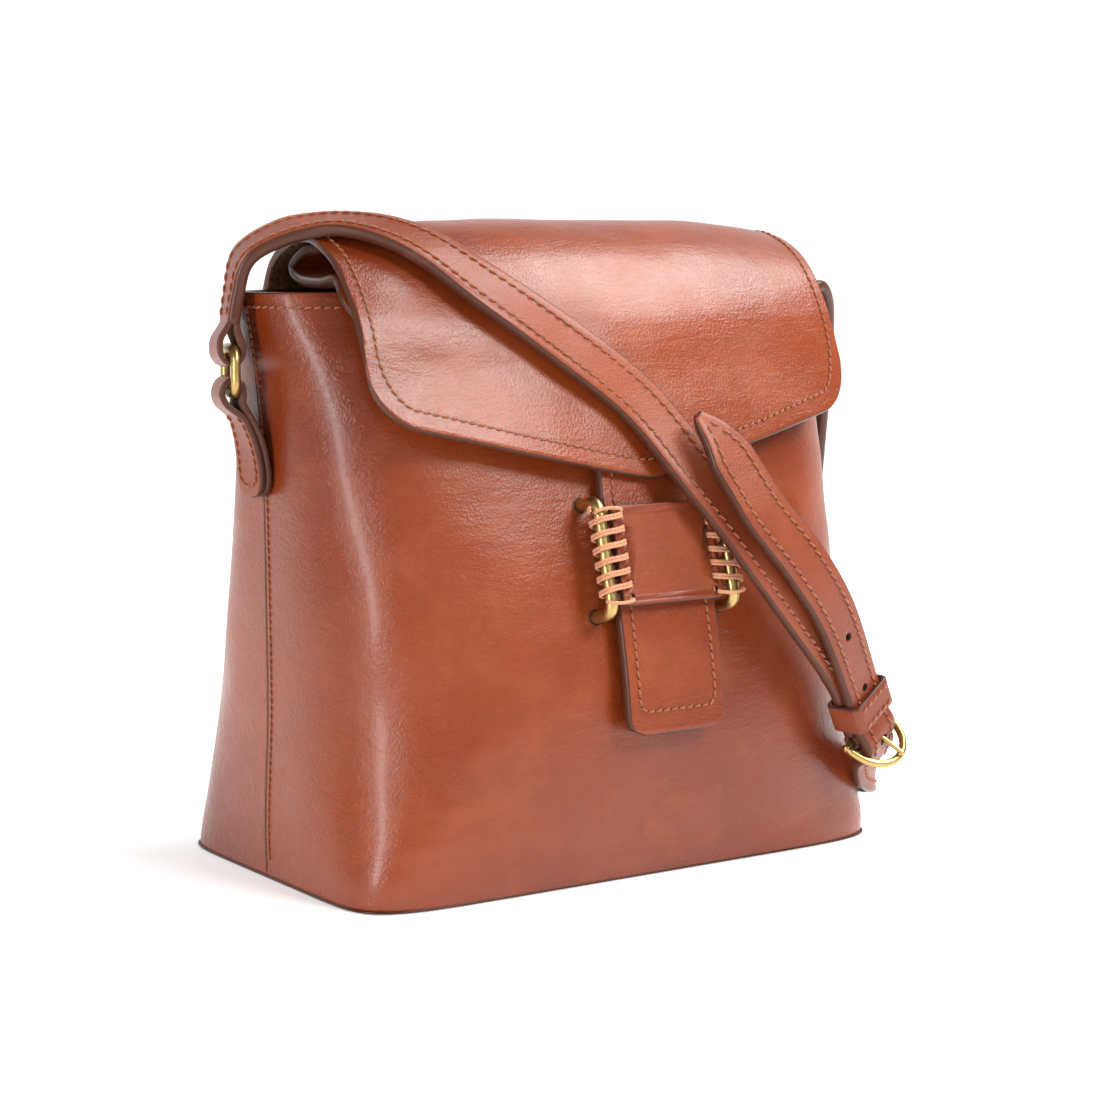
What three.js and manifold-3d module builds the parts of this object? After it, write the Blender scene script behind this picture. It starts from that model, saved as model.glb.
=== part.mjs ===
// A leather sling bag: a boxy body with a pinched mouth, a front flap, an inner closure flap whose
// tab slides under a laced bridge, and a shoulder strap in two lengths joined by a buckle.
// Millimetres, +Z up, the front faces -Y, the origin is the middle of the base on the floor.

import * as THREE from 'three';
import { mergeVertices } from 'three/addons/utils/BufferGeometryUtils.js';
import Module from 'manifold-3d';

const wasm = await Module();
wasm.setup();

// ---------- driving dimensions ----------

const bodyHalfWidth = 119;
const bodyFrontDepth = 76;
const bodyBackDepth = 74;
const bodyHeight = 217;
const wallLeather = 2.6;
const baseLeather = 2.4;
const baseBoardThickness = 2;
const facingHeight = 22;
const facingLeather = 1.4;
const fitGap = 0.35;

const flapLeather = 3;
const flapHalfWidth = 107;
const flapLapHeight = 28;
const flapCornerRadius = 15;
const flapDropAtMiddle = 67;
const flapEdgeSlope = 0.235;
const flapRise = 25;

const closureLeather = 1.9;
const closureHalfWidth = 103;
const tabWidth = 42;
const tabBelowBridge = 65;
const tabCornerRadius = 9;

const bridgeWidth = 46;
const bridgeHeight = 37;
const bridgeLeather = 2.4;
const bridgeBelowFlap = 8.5;
const barRadius = 2.3;
const barGap = 4.6;
const barBend = 4.5;
const laceRadius = 0.8;
const laceTurns = 7;
const washerRadius = 5;
const washerThickness = 1;
const backingLeather = 1.6;

const strapWidth = 18;
const strapLeather = 2;
const strapHolePitch = 25;
const strapHoleRadius = 1.6;
const strapHoleCount = 5;

const ringWire = 1.8;
const ringSideRoom = 0.7;
const ringHalfHeight = 8;
const ringCornerRadius = 5;
const ringBelowRim = 28;
const ringStandOff = 5.69;
const ringTurns = { left: 18, right: 0 };
const chapeThickness = 5.4;
const chapeDrop = 38;
const swingRadius = 17;

const buckleSideRoom = 2;
const buckleReach = 17.5;
const buckleTilt = 50;
const buckleWire = 1.5;
const buckleBar = 1.3;
const keeperLeather = 2;
const keeperHeight = 12;

const bridgeMiddle = bodyHeight - flapDropAtMiddle - bridgeBelowFlap - bridgeHeight / 2;
const tabEnd = bridgeMiddle - tabBelowBridge;
const ringHalfWidth = strapWidth / 2 + ringWire + ringSideRoom;
const buckleHalfWidth = strapWidth / 2 + buckleWire + buckleSideRoom;

// ---------- colours ----------

const looks = {
  leather: { color: 0x9c4a26, roughness: 0.42, metalness: 0 },
  suede: { color: 0x5c3a22, roughness: 0.9, metalness: 0 },
  board: { color: 0x4a3526, roughness: 0.95, metalness: 0 },
  brass: { color: 0xb79a4e, roughness: 0.3, metalness: 1 },
  lace: { color: 0xc98a62, roughness: 0.6, metalness: 0 },
};

// ---------- general helpers ----------

const model = new THREE.Group();

function addPart(name, look, geometry) {
  const mesh = new THREE.Mesh(geometry, new THREE.MeshStandardMaterial(looks[look]));
  mesh.name = name;
  model.add(mesh);
  return mesh;
}

function vec(x, y, z) {
  return new THREE.Vector3(x, y, z);
}

function range(count) {
  return Array.from({ length: count }, (_, i) => i);
}

// value of a smooth line through [place, value] pairs
function smoothValue(pairs, place) {
  const last = pairs.length - 1;
  const spot = THREE.MathUtils.clamp(place, pairs[0][0], pairs[last][0]);
  let i = 0;
  while (i < last - 1 && spot > pairs[i + 1][0]) {
    i += 1;
  }
  const slope = (k) => {
    const a = pairs[Math.max(k - 1, 0)];
    const b = pairs[Math.min(k + 1, last)];
    return (b[1] - a[1]) / (b[0] - a[0]);
  };
  const span = pairs[i + 1][0] - pairs[i][0];
  const t = (spot - pairs[i][0]) / span;
  const rise = pairs[i + 1][1] - pairs[i][1];
  const start = slope(i) * span;
  const end = slope(i + 1) * span;
  return pairs[i][1] + start * t + (3 * rise - 2 * start - end) * t * t + (start + end - 2 * rise) * t ** 3;
}

function signedVolume(positions, indices) {
  const a = new THREE.Vector3();
  const b = new THREE.Vector3();
  const c = new THREE.Vector3();
  let volume = 0;
  for (let k = 0; k < indices.length; k += 3) {
    a.fromArray(positions, indices[k] * 3);
    b.fromArray(positions, indices[k + 1] * 3);
    c.fromArray(positions, indices[k + 2] * 3);
    volume += a.dot(b.cross(c));
  }
  return volume;
}

function closedGeometry(points, triangles) {
  const positions = points.flatMap((p) => [p.x, p.y, p.z]);
  let indices = triangles.flat();
  if (signedVolume(positions, indices) < 0) {
    indices = triangles.flatMap(([a, b, c]) => [a, c, b]);
  }
  const geometry = new THREE.BufferGeometry();
  geometry.setAttribute('position', new THREE.Float32BufferAttribute(positions, 3));
  geometry.setIndex(indices);
  geometry.computeVertexNormals();
  return geometry;
}

// a closed skin between two grids of points, the first in front of the second
function between(columns, rows, ...pointAts) {
  const points = [];
  for (const pointAt of pointAts) {
    for (const i of range(columns + 1)) {
      points.push(...range(rows + 1).map((j) => pointAt(i / columns, j / rows)));
    }
  }
  return closedGeometry(points, sheetTriangles(columns, rows));
}

// a leather sheet of even thickness over a grid of middle points, shifted along its normal
function sheet(columns, rows, pointAt, thickness, shift = 0) {
  const middle = range(columns + 1).map((i) => range(rows + 1).map((j) => pointAt(i / columns, j / rows)));
  const normalAt = (i, j) => {
    const across = middle[Math.min(i + 1, columns)][j].clone().sub(middle[Math.max(i - 1, 0)][j]);
    const along = middle[i][Math.min(j + 1, rows)].clone().sub(middle[i][Math.max(j - 1, 0)]);
    return across.cross(along).normalize();
  };
  const points = [];
  for (const side of [0.5, -0.5]) {
    for (let i = 0; i <= columns; i += 1) {
      for (let j = 0; j <= rows; j += 1) {
        points.push(middle[i][j].clone().addScaledVector(normalAt(i, j), side * thickness + shift));
      }
    }
  }
  return closedGeometry(points, sheetTriangles(columns, rows));
}

function sheetTriangles(columns, rows) {
  const at = (side, i, j) => (side * (columns + 1) + i) * (rows + 1) + j;
  const triangles = [];
  const quad = (a, b, c, d) => triangles.push([a, b, c], [a, c, d]);
  for (let i = 0; i < columns; i += 1) {
    for (let j = 0; j < rows; j += 1) {
      quad(at(0, i, j), at(0, i + 1, j), at(0, i + 1, j + 1), at(0, i, j + 1));
      quad(at(1, i, j), at(1, i, j + 1), at(1, i + 1, j + 1), at(1, i + 1, j));
    }
    quad(at(0, i, 0), at(1, i, 0), at(1, i + 1, 0), at(0, i + 1, 0));
    quad(at(0, i + 1, rows), at(1, i + 1, rows), at(1, i, rows), at(0, i, rows));
  }
  for (let j = 0; j < rows; j += 1) {
    quad(at(0, 0, j + 1), at(1, 0, j + 1), at(1, 0, j), at(0, 0, j));
    quad(at(0, columns, j), at(1, columns, j), at(1, columns, j + 1), at(0, columns, j + 1));
  }
  return triangles;
}

// a round rod along a list of middle points, with flat ends, or a ring if the list closes
function rod(path, radius, sides, closed = false) {
  const count = path.length;
  const heading = (i) => {
    const before = closed ? path[(i + count - 1) % count] : path[Math.max(i - 1, 0)];
    const after = closed ? path[(i + 1) % count] : path[Math.min(i + 1, count - 1)];
    return after.clone().sub(before).normalize();
  };
  const points = [];
  let side = vec(0, 0, 1).cross(heading(0));
  if (side.length() < 0.1) {
    side = vec(1, 0, 0).cross(heading(0));
  }
  path.forEach((middle, i) => {
    const ahead = heading(i);
    side.addScaledVector(ahead, -side.dot(ahead)).normalize();
    const up = ahead.clone().cross(side);
    for (let k = 0; k < sides; k += 1) {
      const turn = (2 * Math.PI * k) / sides;
      const out = side.clone().multiplyScalar(Math.cos(turn)).addScaledVector(up, Math.sin(turn));
      points.push(middle.clone().addScaledVector(out, radius));
    }
  });
  const triangles = [];
  const at = (i, k) => (i % count) * sides + (k % sides);
  const steps = closed ? count : count - 1;
  for (let i = 0; i < steps; i += 1) {
    for (let k = 0; k < sides; k += 1) {
      triangles.push([at(i, k), at(i, k + 1), at(i + 1, k + 1)], [at(i, k), at(i + 1, k + 1), at(i + 1, k)]);
    }
  }
  for (let k = 1; k < sides - 1 && !closed; k += 1) {
    triangles.push([at(0, 0), at(0, k + 1), at(0, k)], [at(count - 1, 0), at(count - 1, k), at(count - 1, k + 1)]);
  }
  return closedGeometry(points, triangles);
}

function toSolid(geometry) {
  const bare = new THREE.BufferGeometry();
  bare.setAttribute('position', geometry.attributes.position);
  if (geometry.index) {
    bare.setIndex(geometry.index);
  }
  const merged = mergeVertices(bare, 1e-4);
  return new wasm.Manifold(new wasm.Mesh({
    numProp: 3,
    vertProperties: new Float32Array(merged.attributes.position.array),
    triVerts: new Uint32Array(merged.index.array),
  }));
}

function fromSolid(solid) {
  const mesh = solid.getMesh();
  const geometry = new THREE.BufferGeometry();
  geometry.setAttribute('position', new THREE.Float32BufferAttribute(mesh.vertProperties, 3));
  geometry.setIndex(new THREE.Uint32BufferAttribute(mesh.triVerts, 1));
  return geometry;
}

function cut(geometry, ...tools) {
  const solid = tools.reduce((left, tool) => left.subtract(toSolid(tool)), toSolid(geometry));
  return fromSolid(solid);
}

function common(geometry, tool) {
  return fromSolid(toSolid(geometry).intersect(toSolid(tool)));
}

function joined(geometry, ...others) {
  return fromSolid(others.reduce((left, other) => left.add(toSolid(other)), toSolid(geometry)));
}

// a straight round peg between two points
function peg(from, to, radius, sides = 12) {
  return rod([from, to], radius, sides);
}

// ---------- body ----------

// [height share, half width, front depth, front squareness, back depth, back squareness],
// where widths and depths are what is added to those of the base
const bodyRows = [
  [0, 0, 0, 9, 0, 9],
  [0.1, 0.5, 8, 5, 0, 6],
  [0.276, -1, 11, 3.4, -4, 4.6],
  [0.507, -1, 4, 3.2, -14, 4],
  [0.69, -0.5, -7, 3.3, -24, 4],
  [0.853, 2, -21, 3.3, -35, 3.8],
  [1, 6.5, -36, 3.1, -49, 3],
];

function bodyValue(column, height) {
  return smoothValue(bodyRows.map((row) => [row[0] * bodyHeight, row[column]]), height);
}

// a point of the body's outer skin; turn 0 is the right seam, 180 the left one, inset is inwards
function bodyPoint(turnDegrees, height, isFront, inset = 0) {
  const turn = THREE.MathUtils.degToRad(turnDegrees);
  const width = bodyHalfWidth + bodyValue(1, height) - inset;
  const reach = isFront ? bodyFrontDepth + bodyValue(2, height) : bodyBackDepth + bodyValue(4, height);
  const square = bodyValue(isFront ? 3 : 5, height);
  const across = Math.cos(turn);
  const out = Math.sin(turn);
  const size = (Math.abs(across) ** square + out ** square) ** (-1 / square);
  const sign = isFront ? -1 : 1;
  return vec(width * across * size, sign * (reach - inset) * out * size, height);
}

// how far the outer skin stands from the middle plane at a place across the front or back
function skinDepth(x, height, isFront) {
  const width = bodyHalfWidth + bodyValue(1, height);
  const reach = isFront ? bodyFrontDepth + bodyValue(2, height) : bodyBackDepth + bodyValue(4, height);
  const square = bodyValue(isFront ? 3 : 5, height);
  const share = Math.min(Math.abs(x) / width, 0.999);
  return reach * (1 - share ** square) ** (1 / square);
}

const seamGapTurn = 0.12;
const wallStart = baseLeather + fitGap;

function bodySheet(isFront, low, high, inset, thickness, columns, rows) {
  const from = isFront ? 180 - seamGapTurn : seamGapTurn;
  const to = isFront ? seamGapTurn : 180 - seamGapTurn;
  const skinAt = (depth) => (u, v) => bodyPoint(from + (to - from) * u, low + (high - low) * v, isFront, depth);
  return between(columns, rows, skinAt(inset), skinAt(inset + thickness));
}

function bodyWall(isFront) {
  return bodySheet(isFront, wallStart, bodyHeight, 0, wallLeather, 26, 10);
}

function rimFacing(isFront) {
  const inset = wallLeather + 2 * fitGap;
  return bodySheet(isFront, bodyHeight - facingHeight, bodyHeight - 0.4, inset, facingLeather, 26, 2);
}

function basePlate(inset, thickness, low) {
  const outline = new THREE.Shape();
  const corners = [];
  for (let turn = 0; turn < 180; turn += 9) {
    corners.push(bodyPoint(turn, 0, false, inset));
  }
  for (let turn = 180; turn > 0; turn -= 9) {
    corners.push(bodyPoint(turn, 0, true, inset));
  }
  outline.setFromPoints(corners.map((p) => new THREE.Vector2(p.x, p.y)));
  const geometry = new THREE.ExtrudeGeometry(outline, { depth: thickness, bevelEnabled: false });
  return geometry.translate(0, 0, low);
}

// ---------- flap ----------

const flapBackHalf = flapHalfWidth - 3;
const flapLapGap = 3 * fitGap;
const mouthBack = skinDepth(0, bodyHeight, false) + flapLapGap + flapLeather / 2;
const closureStack = 2 * closureLeather + fitGap;
const flapProud = closureStack + flapLeather / 2 + 4.3;
const mouthFront = skinDepth(0, bodyHeight, true) + flapProud;
const mouthMiddle = (mouthBack - mouthFront) / 2;
const mouthHalf = (mouthBack + mouthFront) / 2;

// rows over the mouth: [share of the mouth's half depth, share of the rise, edge lean, edge drop]
const flapCrestRows = [
  [0.71, 0.52, -1, -3],
  [0.35, 0.88, -1, -4.5],
  [-0.04, 1, 0, -5.5],
  [-0.4, 0.86, 3, -5],
  [-0.78, 0.46, 6, -2],
];
// rows down the front: [height below the rim, edge lean, extra stand-off]
const flapFrontRows = [
  [9, 8, 2.6],
  [30, 8, 0.5],
  [50, 6.5, 0],
  [flapDropAtMiddle, 5.5, 0],
  [flapDropAtMiddle + 12, 5, 0],
];

function crestPoint([depthShare, riseShare, lean, drop], across) {
  const y = mouthMiddle + mouthHalf * depthShare + lean * across ** 2;
  return vec(0, y, bodyHeight + flapRise * riseShare + drop * across ** 4);
}

function frontPoint(below, proud, lean, across) {
  const height = bodyHeight - below;
  return vec(0, lean * across ** 2 - skinDepth(0, height, true) - proud, height);
}

// the flap's middle surface seen from the side, at a place across it from -1 to 1
function flapCurve(across) {
  const lap = [flapLapHeight, flapLapHeight / 2, 0].map((below) => {
    const out = skinDepth(across * flapBackHalf, bodyHeight - below, false);
    return vec(0, out + flapLapGap + flapLeather / 2, bodyHeight - below);
  });
  const crest = flapCrestRows.map((row) => crestPoint(row, across));
  const front = flapFrontRows.map(([below, lean, extra]) => {
    return frontPoint(below, flapProud + extra, lean, across);
  });
  return new THREE.CatmullRomCurve3([...lap, ...crest, ...front], false, 'centripetal');
}

// how high the flap's lower edge is, at a distance from its middle
function flapEdgeHeight(x) {
  const slope = flapEdgeSlope * Math.sqrt(x * x + 64) - flapEdgeSlope * 8;
  const past = Math.max(Math.abs(x) - (flapHalfWidth - flapCornerRadius), 0);
  const corner = flapCornerRadius - Math.sqrt(Math.max(flapCornerRadius ** 2 - past ** 2, 0));
  return bodyHeight - flapDropAtMiddle + slope + corner;
}

// the share of a curve at which it comes down to a height
function shareAtHeight(curve, height) {
  let low = 0.5;
  let high = 1;
  for (let step = 0; step < 24; step += 1) {
    const middle = (low + high) / 2;
    if (curve.getPoint(middle).z > height) {
      low = middle;
    } else {
      high = middle;
    }
  }
  return low;
}

// places across a sheet from -1 to 1, closer together towards its edges
function spreadAcross(u) {
  return Math.sin((u - 0.5) * Math.PI * 0.94) / Math.sin(0.47 * Math.PI);
}

const lapShare = 2 / (1 + flapCrestRows.length + flapFrontRows.length + 1);
const lapGapShare = (fitGap / flapLapHeight) * lapShare;

// the part of the flap between two shares of its curve, or down to its lower edge
function flapGeometry(from, to, rows) {
  const place = (u, v) => {
    const across = spreadAcross(u);
    const curve = flapCurve(across);
    const end = to ?? shareAtHeight(curve, flapEdgeHeight(across * flapHalfWidth));
    const share = from + (end - from) * v;
    const point = curve.getPoint(share);
    point.x = across * THREE.MathUtils.lerp(flapBackHalf, flapHalfWidth, Math.min(share * 2, 1));
    return point;
  };
  return sheet(18, rows, place, flapLeather);
}

// ---------- closure flap and its tab ----------

const tabHalf = tabWidth / 2;
const closureProud = closureStack / 2 + 2.1;
const rimPass = closureStack / 2 + 1.2;

// rows from the crest down to the mouth: crest rows with the half width of the leather
const closureCrestRows = [
  [-0.12, 0.81, 2, -4.2, closureHalfWidth - 2],
  [0.17, 0.75, 0, -4.2, closureHalfWidth],
  [0.36, 0.5, 0, -4, closureHalfWidth + 1],
  [0.17, 0.23, 2, -1, closureHalfWidth + 1],
];
// rows down the front: [height below the rim, extra stand-off, half width]
const closureFrontRows = [
  [5, 0.9, closureHalfWidth + 1],
  [19, 0.2, closureHalfWidth - 11],
  [33, 0, closureHalfWidth - 37],
  [47, 0, closureHalfWidth - 64],
  [61, 0.2, tabHalf],
  [74, 0.5, tabHalf],
  [90, 0.9, tabHalf],
  [108, 1.3, tabHalf],
  [137, 2.4, tabHalf],
  [bodyHeight - tabEnd, 3.3, tabHalf],
];

function closureCurve(across) {
  const crest = closureCrestRows.map((row) => crestPoint(row, across));
  const overRim = [[-14, 0.2], [-1.6, 0.9]].map(([out, lift]) => {
    const depth = skinDepth(across * closureHalfWidth, bodyHeight, true) + out;
    return vec(0, -depth, bodyHeight + rimPass + lift);
  });
  const front = closureFrontRows.map(([below, extra, half]) => {
    const out = skinDepth(across * half, bodyHeight - below, true) + closureProud + extra;
    return vec(0, -out, bodyHeight - below);
  });
  return new THREE.CatmullRomCurve3([...crest, ...overRim, ...front], false, 'centripetal');
}

const closureHalves = [
  ...closureCrestRows.map((row) => row[4]),
  closureHalfWidth + 1,
  closureHalfWidth + 1,
  ...closureFrontRows.map((row) => row[2]),
];

function closureGeometry(side) {
  const steps = closureHalves.length - 1;
  const pairs = closureHalves.map((half, k) => [k / steps, half]);
  const place = (u, v) => {
    const across = spreadAcross(u);
    const point = closureCurve(across).getPoint(v);
    const past = Math.max(tabCornerRadius + tabEnd - point.z, 0);
    const round = tabCornerRadius - Math.sqrt(Math.max(tabCornerRadius ** 2 - past ** 2, 0));
    point.x = across * (smoothValue(pairs, v) - round);
    return point;
  };
  return sheet(12, 2 * steps, place, closureLeather, -side * (closureLeather + fitGap) / 2);
}

// ---------- bridge, bars and lacing ----------

const bridgeProud = 11.2;
const bridgeLean = Math.atan((skinDepth(0, bridgeMiddle - 18, true) - skinDepth(0, bridgeMiddle + 18, true)) / 36);
const bridgePlace = vec(0, -skinDepth(0, bridgeMiddle, true) - bridgeProud, bridgeMiddle);
const barX = bridgeWidth / 2 + barGap;
const legHeight = bridgeHeight / 2 + 2;
const laceSlack = 0.75;
const laceHole = laceRadius + 0.8;
const laceHoleX = bridgeWidth / 2 - 4;
const lacePitch = (bridgeHeight - 6.6) / (laceTurns - 1);

// a point given across, up and out from the middle of the bridge, which leans with the front
function fromBridge(x, up, out) {
  return vec(x, -out, up).applyAxisAngle(vec(1, 0, 0), -bridgeLean).add(bridgePlace);
}

function bridgeGeometry() {
  const half = bridgeWidth / 2;
  const tall = bridgeHeight / 2;
  const outline = new THREE.Shape();
  outline.moveTo(-half, -tall);
  outline.lineTo(half, -tall);
  outline.lineTo(half, tall);
  outline.lineTo(-half, tall);
  for (const side of [-1, 1]) {
    for (const k of range(laceTurns)) {
      const hole = new THREE.Path();
      const height = (k - (laceTurns - 1) / 2) * lacePitch;
      hole.absarc(side * laceHoleX, height, laceHole, 0, 2 * Math.PI, true);
      outline.holes.push(hole);
    }
  }
  const settings = { depth: bridgeLeather, bevelEnabled: false, curveSegments: 4 };
  const geometry = new THREE.ExtrudeGeometry(outline, settings);
  geometry.translate(0, 0, -bridgeLeather / 2);
  geometry.rotateX(Math.PI / 2 - bridgeLean);
  return geometry.translate(bridgePlace.x, bridgePlace.y, bridgePlace.z);
}

// how far behind the bar's axis the front wall's outer skin is, along a leg
function skinBehindBar(up) {
  let near = 0;
  let far = 60;
  for (let step = 0; step < 24; step += 1) {
    const middle = (near + far) / 2;
    const point = fromBridge(barX, up, -middle);
    if (-point.y > skinDepth(barX, point.z, true)) {
      near = middle;
    } else {
      far = middle;
    }
  }
  return near;
}

const legPlaces = [['top', legHeight], ['bottom', -legHeight]];
const washerDepth = (up) => skinBehindBar(up) + wallLeather + backingLeather + 2 * fitGap + 1;

function barGeometry(side) {
  const reach = (up) => washerDepth(up) + washerThickness + 1.6;
  const path = [fromBridge(side * barX, legHeight, -reach(legHeight))];
  for (const turn of range(5)) {
    const angle = (turn / 4) * Math.PI / 2;
    const up = legHeight - barBend + barBend * Math.cos(angle);
    path.push(fromBridge(side * barX, up, -barBend + barBend * Math.sin(angle)));
  }
  for (const turn of range(5)) {
    const angle = (turn / 4) * Math.PI / 2;
    const up = barBend - legHeight - barBend * Math.sin(angle);
    path.push(fromBridge(side * barX, up, -barBend + barBend * Math.cos(angle)));
  }
  path.push(fromBridge(side * barX, -legHeight, -reach(-legHeight)));
  return rod(path, barRadius, 10);
}

function legHoles() {
  const pegs = [];
  for (const side of [-1, 1]) {
    for (const [, up] of legPlaces) {
      const start = fromBridge(side * barX, up, -4);
      const end = fromBridge(side * barX, up, -40);
      pegs.push(peg(start, end, barRadius + fitGap));
    }
  }
  return pegs;
}

function backingGeometry() {
  const low = bridgeMiddle - legHeight - 10;
  const high = bridgeMiddle + legHeight + 4;
  const half = barX + 9;
  const depth = wallLeather + fitGap + backingLeather / 2 + 0.15;
  const place = (u, v) => {
    const x = -half + 2 * half * u;
    const height = low + (high - low) * v;
    return vec(x, depth - skinDepth(x, height, true), height);
  };
  return cut(sheet(8, 4, place, backingLeather), ...legHoles());
}

function washerGeometry(side, up) {
  const near = fromBridge(side * barX, up, -washerDepth(up));
  const far = fromBridge(side * barX, up, -washerDepth(up) - washerThickness);
  const hole = peg(fromBridge(side * barX, up, 0), fromBridge(side * barX, up, -60), barRadius + fitGap);
  return cut(peg(near, far, washerRadius, 14), hole);
}

function laceGeometry(side) {
  const outer = barX + barRadius + laceRadius + laceSlack;
  const middleX = (laceHoleX + outer) / 2;
  const halfX = (outer - laceHoleX) / 2;
  const halfOut = barRadius + laceRadius + laceSlack;
  const stepsPerTurn = 10;
  const path = [];
  for (const k of range((laceTurns - 1) * stepsPerTurn + stepsPerTurn / 2 + 1)) {
    const turn = (2 * Math.PI * k) / stepsPerTurn + Math.PI;
    const up = (k / stepsPerTurn - (laceTurns - 1) / 2) * lacePitch;
    const [x, out] = [Math.cos(turn), Math.sin(turn)].map((part) => Math.sign(part) * Math.abs(part) ** 0.7);
    path.push(fromBridge(side * (middleX + halfX * x), up, halfOut * out));
  }
  return rod(path, laceRadius, 5);
}

// ---------- rings and side tabs ----------

const ringMiddle = bodyHeight - ringBelowRim;
const ringLow = ringMiddle - ringHalfHeight;
const ringHigh = ringMiddle + ringHalfHeight;
const chapeEye = ringWire + 1.35;
const chapeLoop = chapeEye + 2.4;
// a twist opens the two layers in step with their width
const strapLayerGap = strapWidth / 32;
const strapThickness = 2 * strapLeather + strapLayerGap;
const strapEye = ringWire + 2.4;
const strapLoop = strapEye + 2.4;
const strapEyeShift = 2;
const sideAt = (height) => bodyHalfWidth + bodyValue(1, height);
const ringX = sideAt(bodyHeight) + ringStandOff;
const sides = [{ name: 'left', sign: -1 }, { name: 'right', sign: 1 }];

// directions out of the body and along the ring's bars, the ring being turned about the upright
function ringDirections({ name, sign }, share = 1) {
  const turn = THREE.MathUtils.degToRad(ringTurns[name] * share);
  return {
    out: vec(sign * Math.cos(turn), Math.sin(turn), 0),
    back: vec(-sign * Math.sin(turn), Math.cos(turn), 0),
  };
}

// a point given outwards, back and up from a ring's middle
function fromRing(side, out, back, up) {
  const directions = ringDirections(side);
  const point = vec(side.sign * ringX, 0, ringMiddle + up).addScaledVector(directions.out, out);
  return point.addScaledVector(directions.back, back);
}

function ringGeometry(side) {
  const path = [];
  const flatY = ringHalfWidth - ringCornerRadius;
  const flatZ = ringHalfHeight - ringCornerRadius;
  for (const [signY, signZ, start] of [[1, 1, 0], [-1, 1, 1], [-1, -1, 2], [1, -1, 3]]) {
    for (const k of range(5)) {
      const turn = (start + k / 4) * (Math.PI / 2);
      const back = signY * flatY + ringCornerRadius * Math.cos(turn);
      const up = signZ * flatZ + ringCornerRadius * Math.sin(turn);
      path.push(fromRing(side, 0, back, up));
    }
  }
  return rod(path, ringWire, 8, true);
}

function eyeAcross(side, out, up, radius, length) {
  return peg(fromRing(side, out, -length / 2, up), fromRing(side, out, length / 2, up), radius, 16);
}

function sideTabGeometry(side) {
  const low = ringLow - chapeDrop;
  const high = ringLow - 2;
  const half = strapWidth / 2;
  const place = (u, v) => {
    const height = low + (high - low) * v;
    const fromEnd = Math.min((height - low) / half, 1);
    const narrow = Math.sqrt(1 - (1 - fromEnd) ** 2) * 0.72 + 0.28;
    const rest = sideAt(height) + 2 * fitGap + chapeThickness / 2;
    const x = THREE.MathUtils.lerp(rest, ringX, v ** 3);
    const { back } = ringDirections(side, v ** 2);
    return vec(side.sign * x, 0, height).addScaledVector(back, (2 * u - 1) * half * narrow);
  };
  const tongue = sheet(2, 9, place, chapeThickness);
  const tab = joined(tongue, eyeAcross(side, 0, -ringHalfHeight, chapeLoop, strapWidth));
  return cut(tab, eyeAcross(side, 0, -ringHalfHeight, chapeEye, strapWidth + 4));
}

function swingPeg(side, radius) {
  const reach = vec(24, 0, 0);
  const middle = vec(side.sign * ringX, 0, ringMiddle);
  return peg(middle.clone().sub(reach), middle.clone().add(reach), radius, 32);
}

function strapLoopGeometry(side) {
  const neckLength = swingRadius - ringHalfHeight - strapEyeShift;
  const neck = new THREE.BoxGeometry(strapThickness, strapWidth, neckLength);
  const { out, back } = ringDirections(side);
  const place = fromRing(side, 0.4, 0, swingRadius - neckLength / 2);
  const turned = new THREE.Matrix4().makeBasis(back.clone().cross(vec(0, 0, 1)), back, vec(0, 0, 1));
  neck.applyMatrix4(turned.setPosition(place));
  const shift = strapEyeShift * Math.abs(out.dot(out));
  const loop = joined(eyeAcross(side, shift, ringHalfHeight, strapLoop, strapWidth), neck);
  const open = cut(loop, eyeAcross(side, shift, ringHalfHeight, strapEye, strapWidth + 4));
  return common(open, swingPeg(side, swingRadius));
}

// ---------- shoulder strap ----------

const strapLift = flapLeather / 2 + fitGap + strapThickness / 2;

// a place on the strap's route: shares of the body's half width, front depth and height, what is over
// 1 being 1 plus riseShare at the flap's crest, then the direction its outer face looks in; the strap's middle is lifted off the place along that direction
const shortRoute = [
  [-0.946, -0.099, 1.081, -0.5, -0.1, 0.86],
  [-0.875, -0.172, 1.092, -0.25, -0.2, 0.95],
  [-0.812, -0.262, 1.096, -0.1, -0.27, 0.96],
  [-0.725, -0.386, 1.088, -0.05, -0.42, 0.9],
  [-0.626, -0.51, 1.063, 0, -0.62, 0.78],
  [-0.479, -0.69, 0.998, 0, -0.83, 0.55],
  [-0.248, -0.825, 0.907, 0, -0.91, 0.4],
  [-0.021, -0.939, 0.804, 0, -0.93, 0.36],
  [0.126, -1.109, 0.684, 0, -0.96, 0.28],
  [0.218, -1.193, 0.616, 0, -0.97, 0.22],
  [0.294, -1.259, 0.552, 0, -0.98, 0.18],
  [0.452, -1.265, 0.452, 0.05, -0.99, 0.1],
  [0.604, -1.223, 0.362, 0.15, -0.98, 0.06],
  [0.702, -1.167, 0.298, 0.24, -0.96, 0.02],
  [0.765, -1.135, 0.235, 0.26, -0.96, 0],
];
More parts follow.
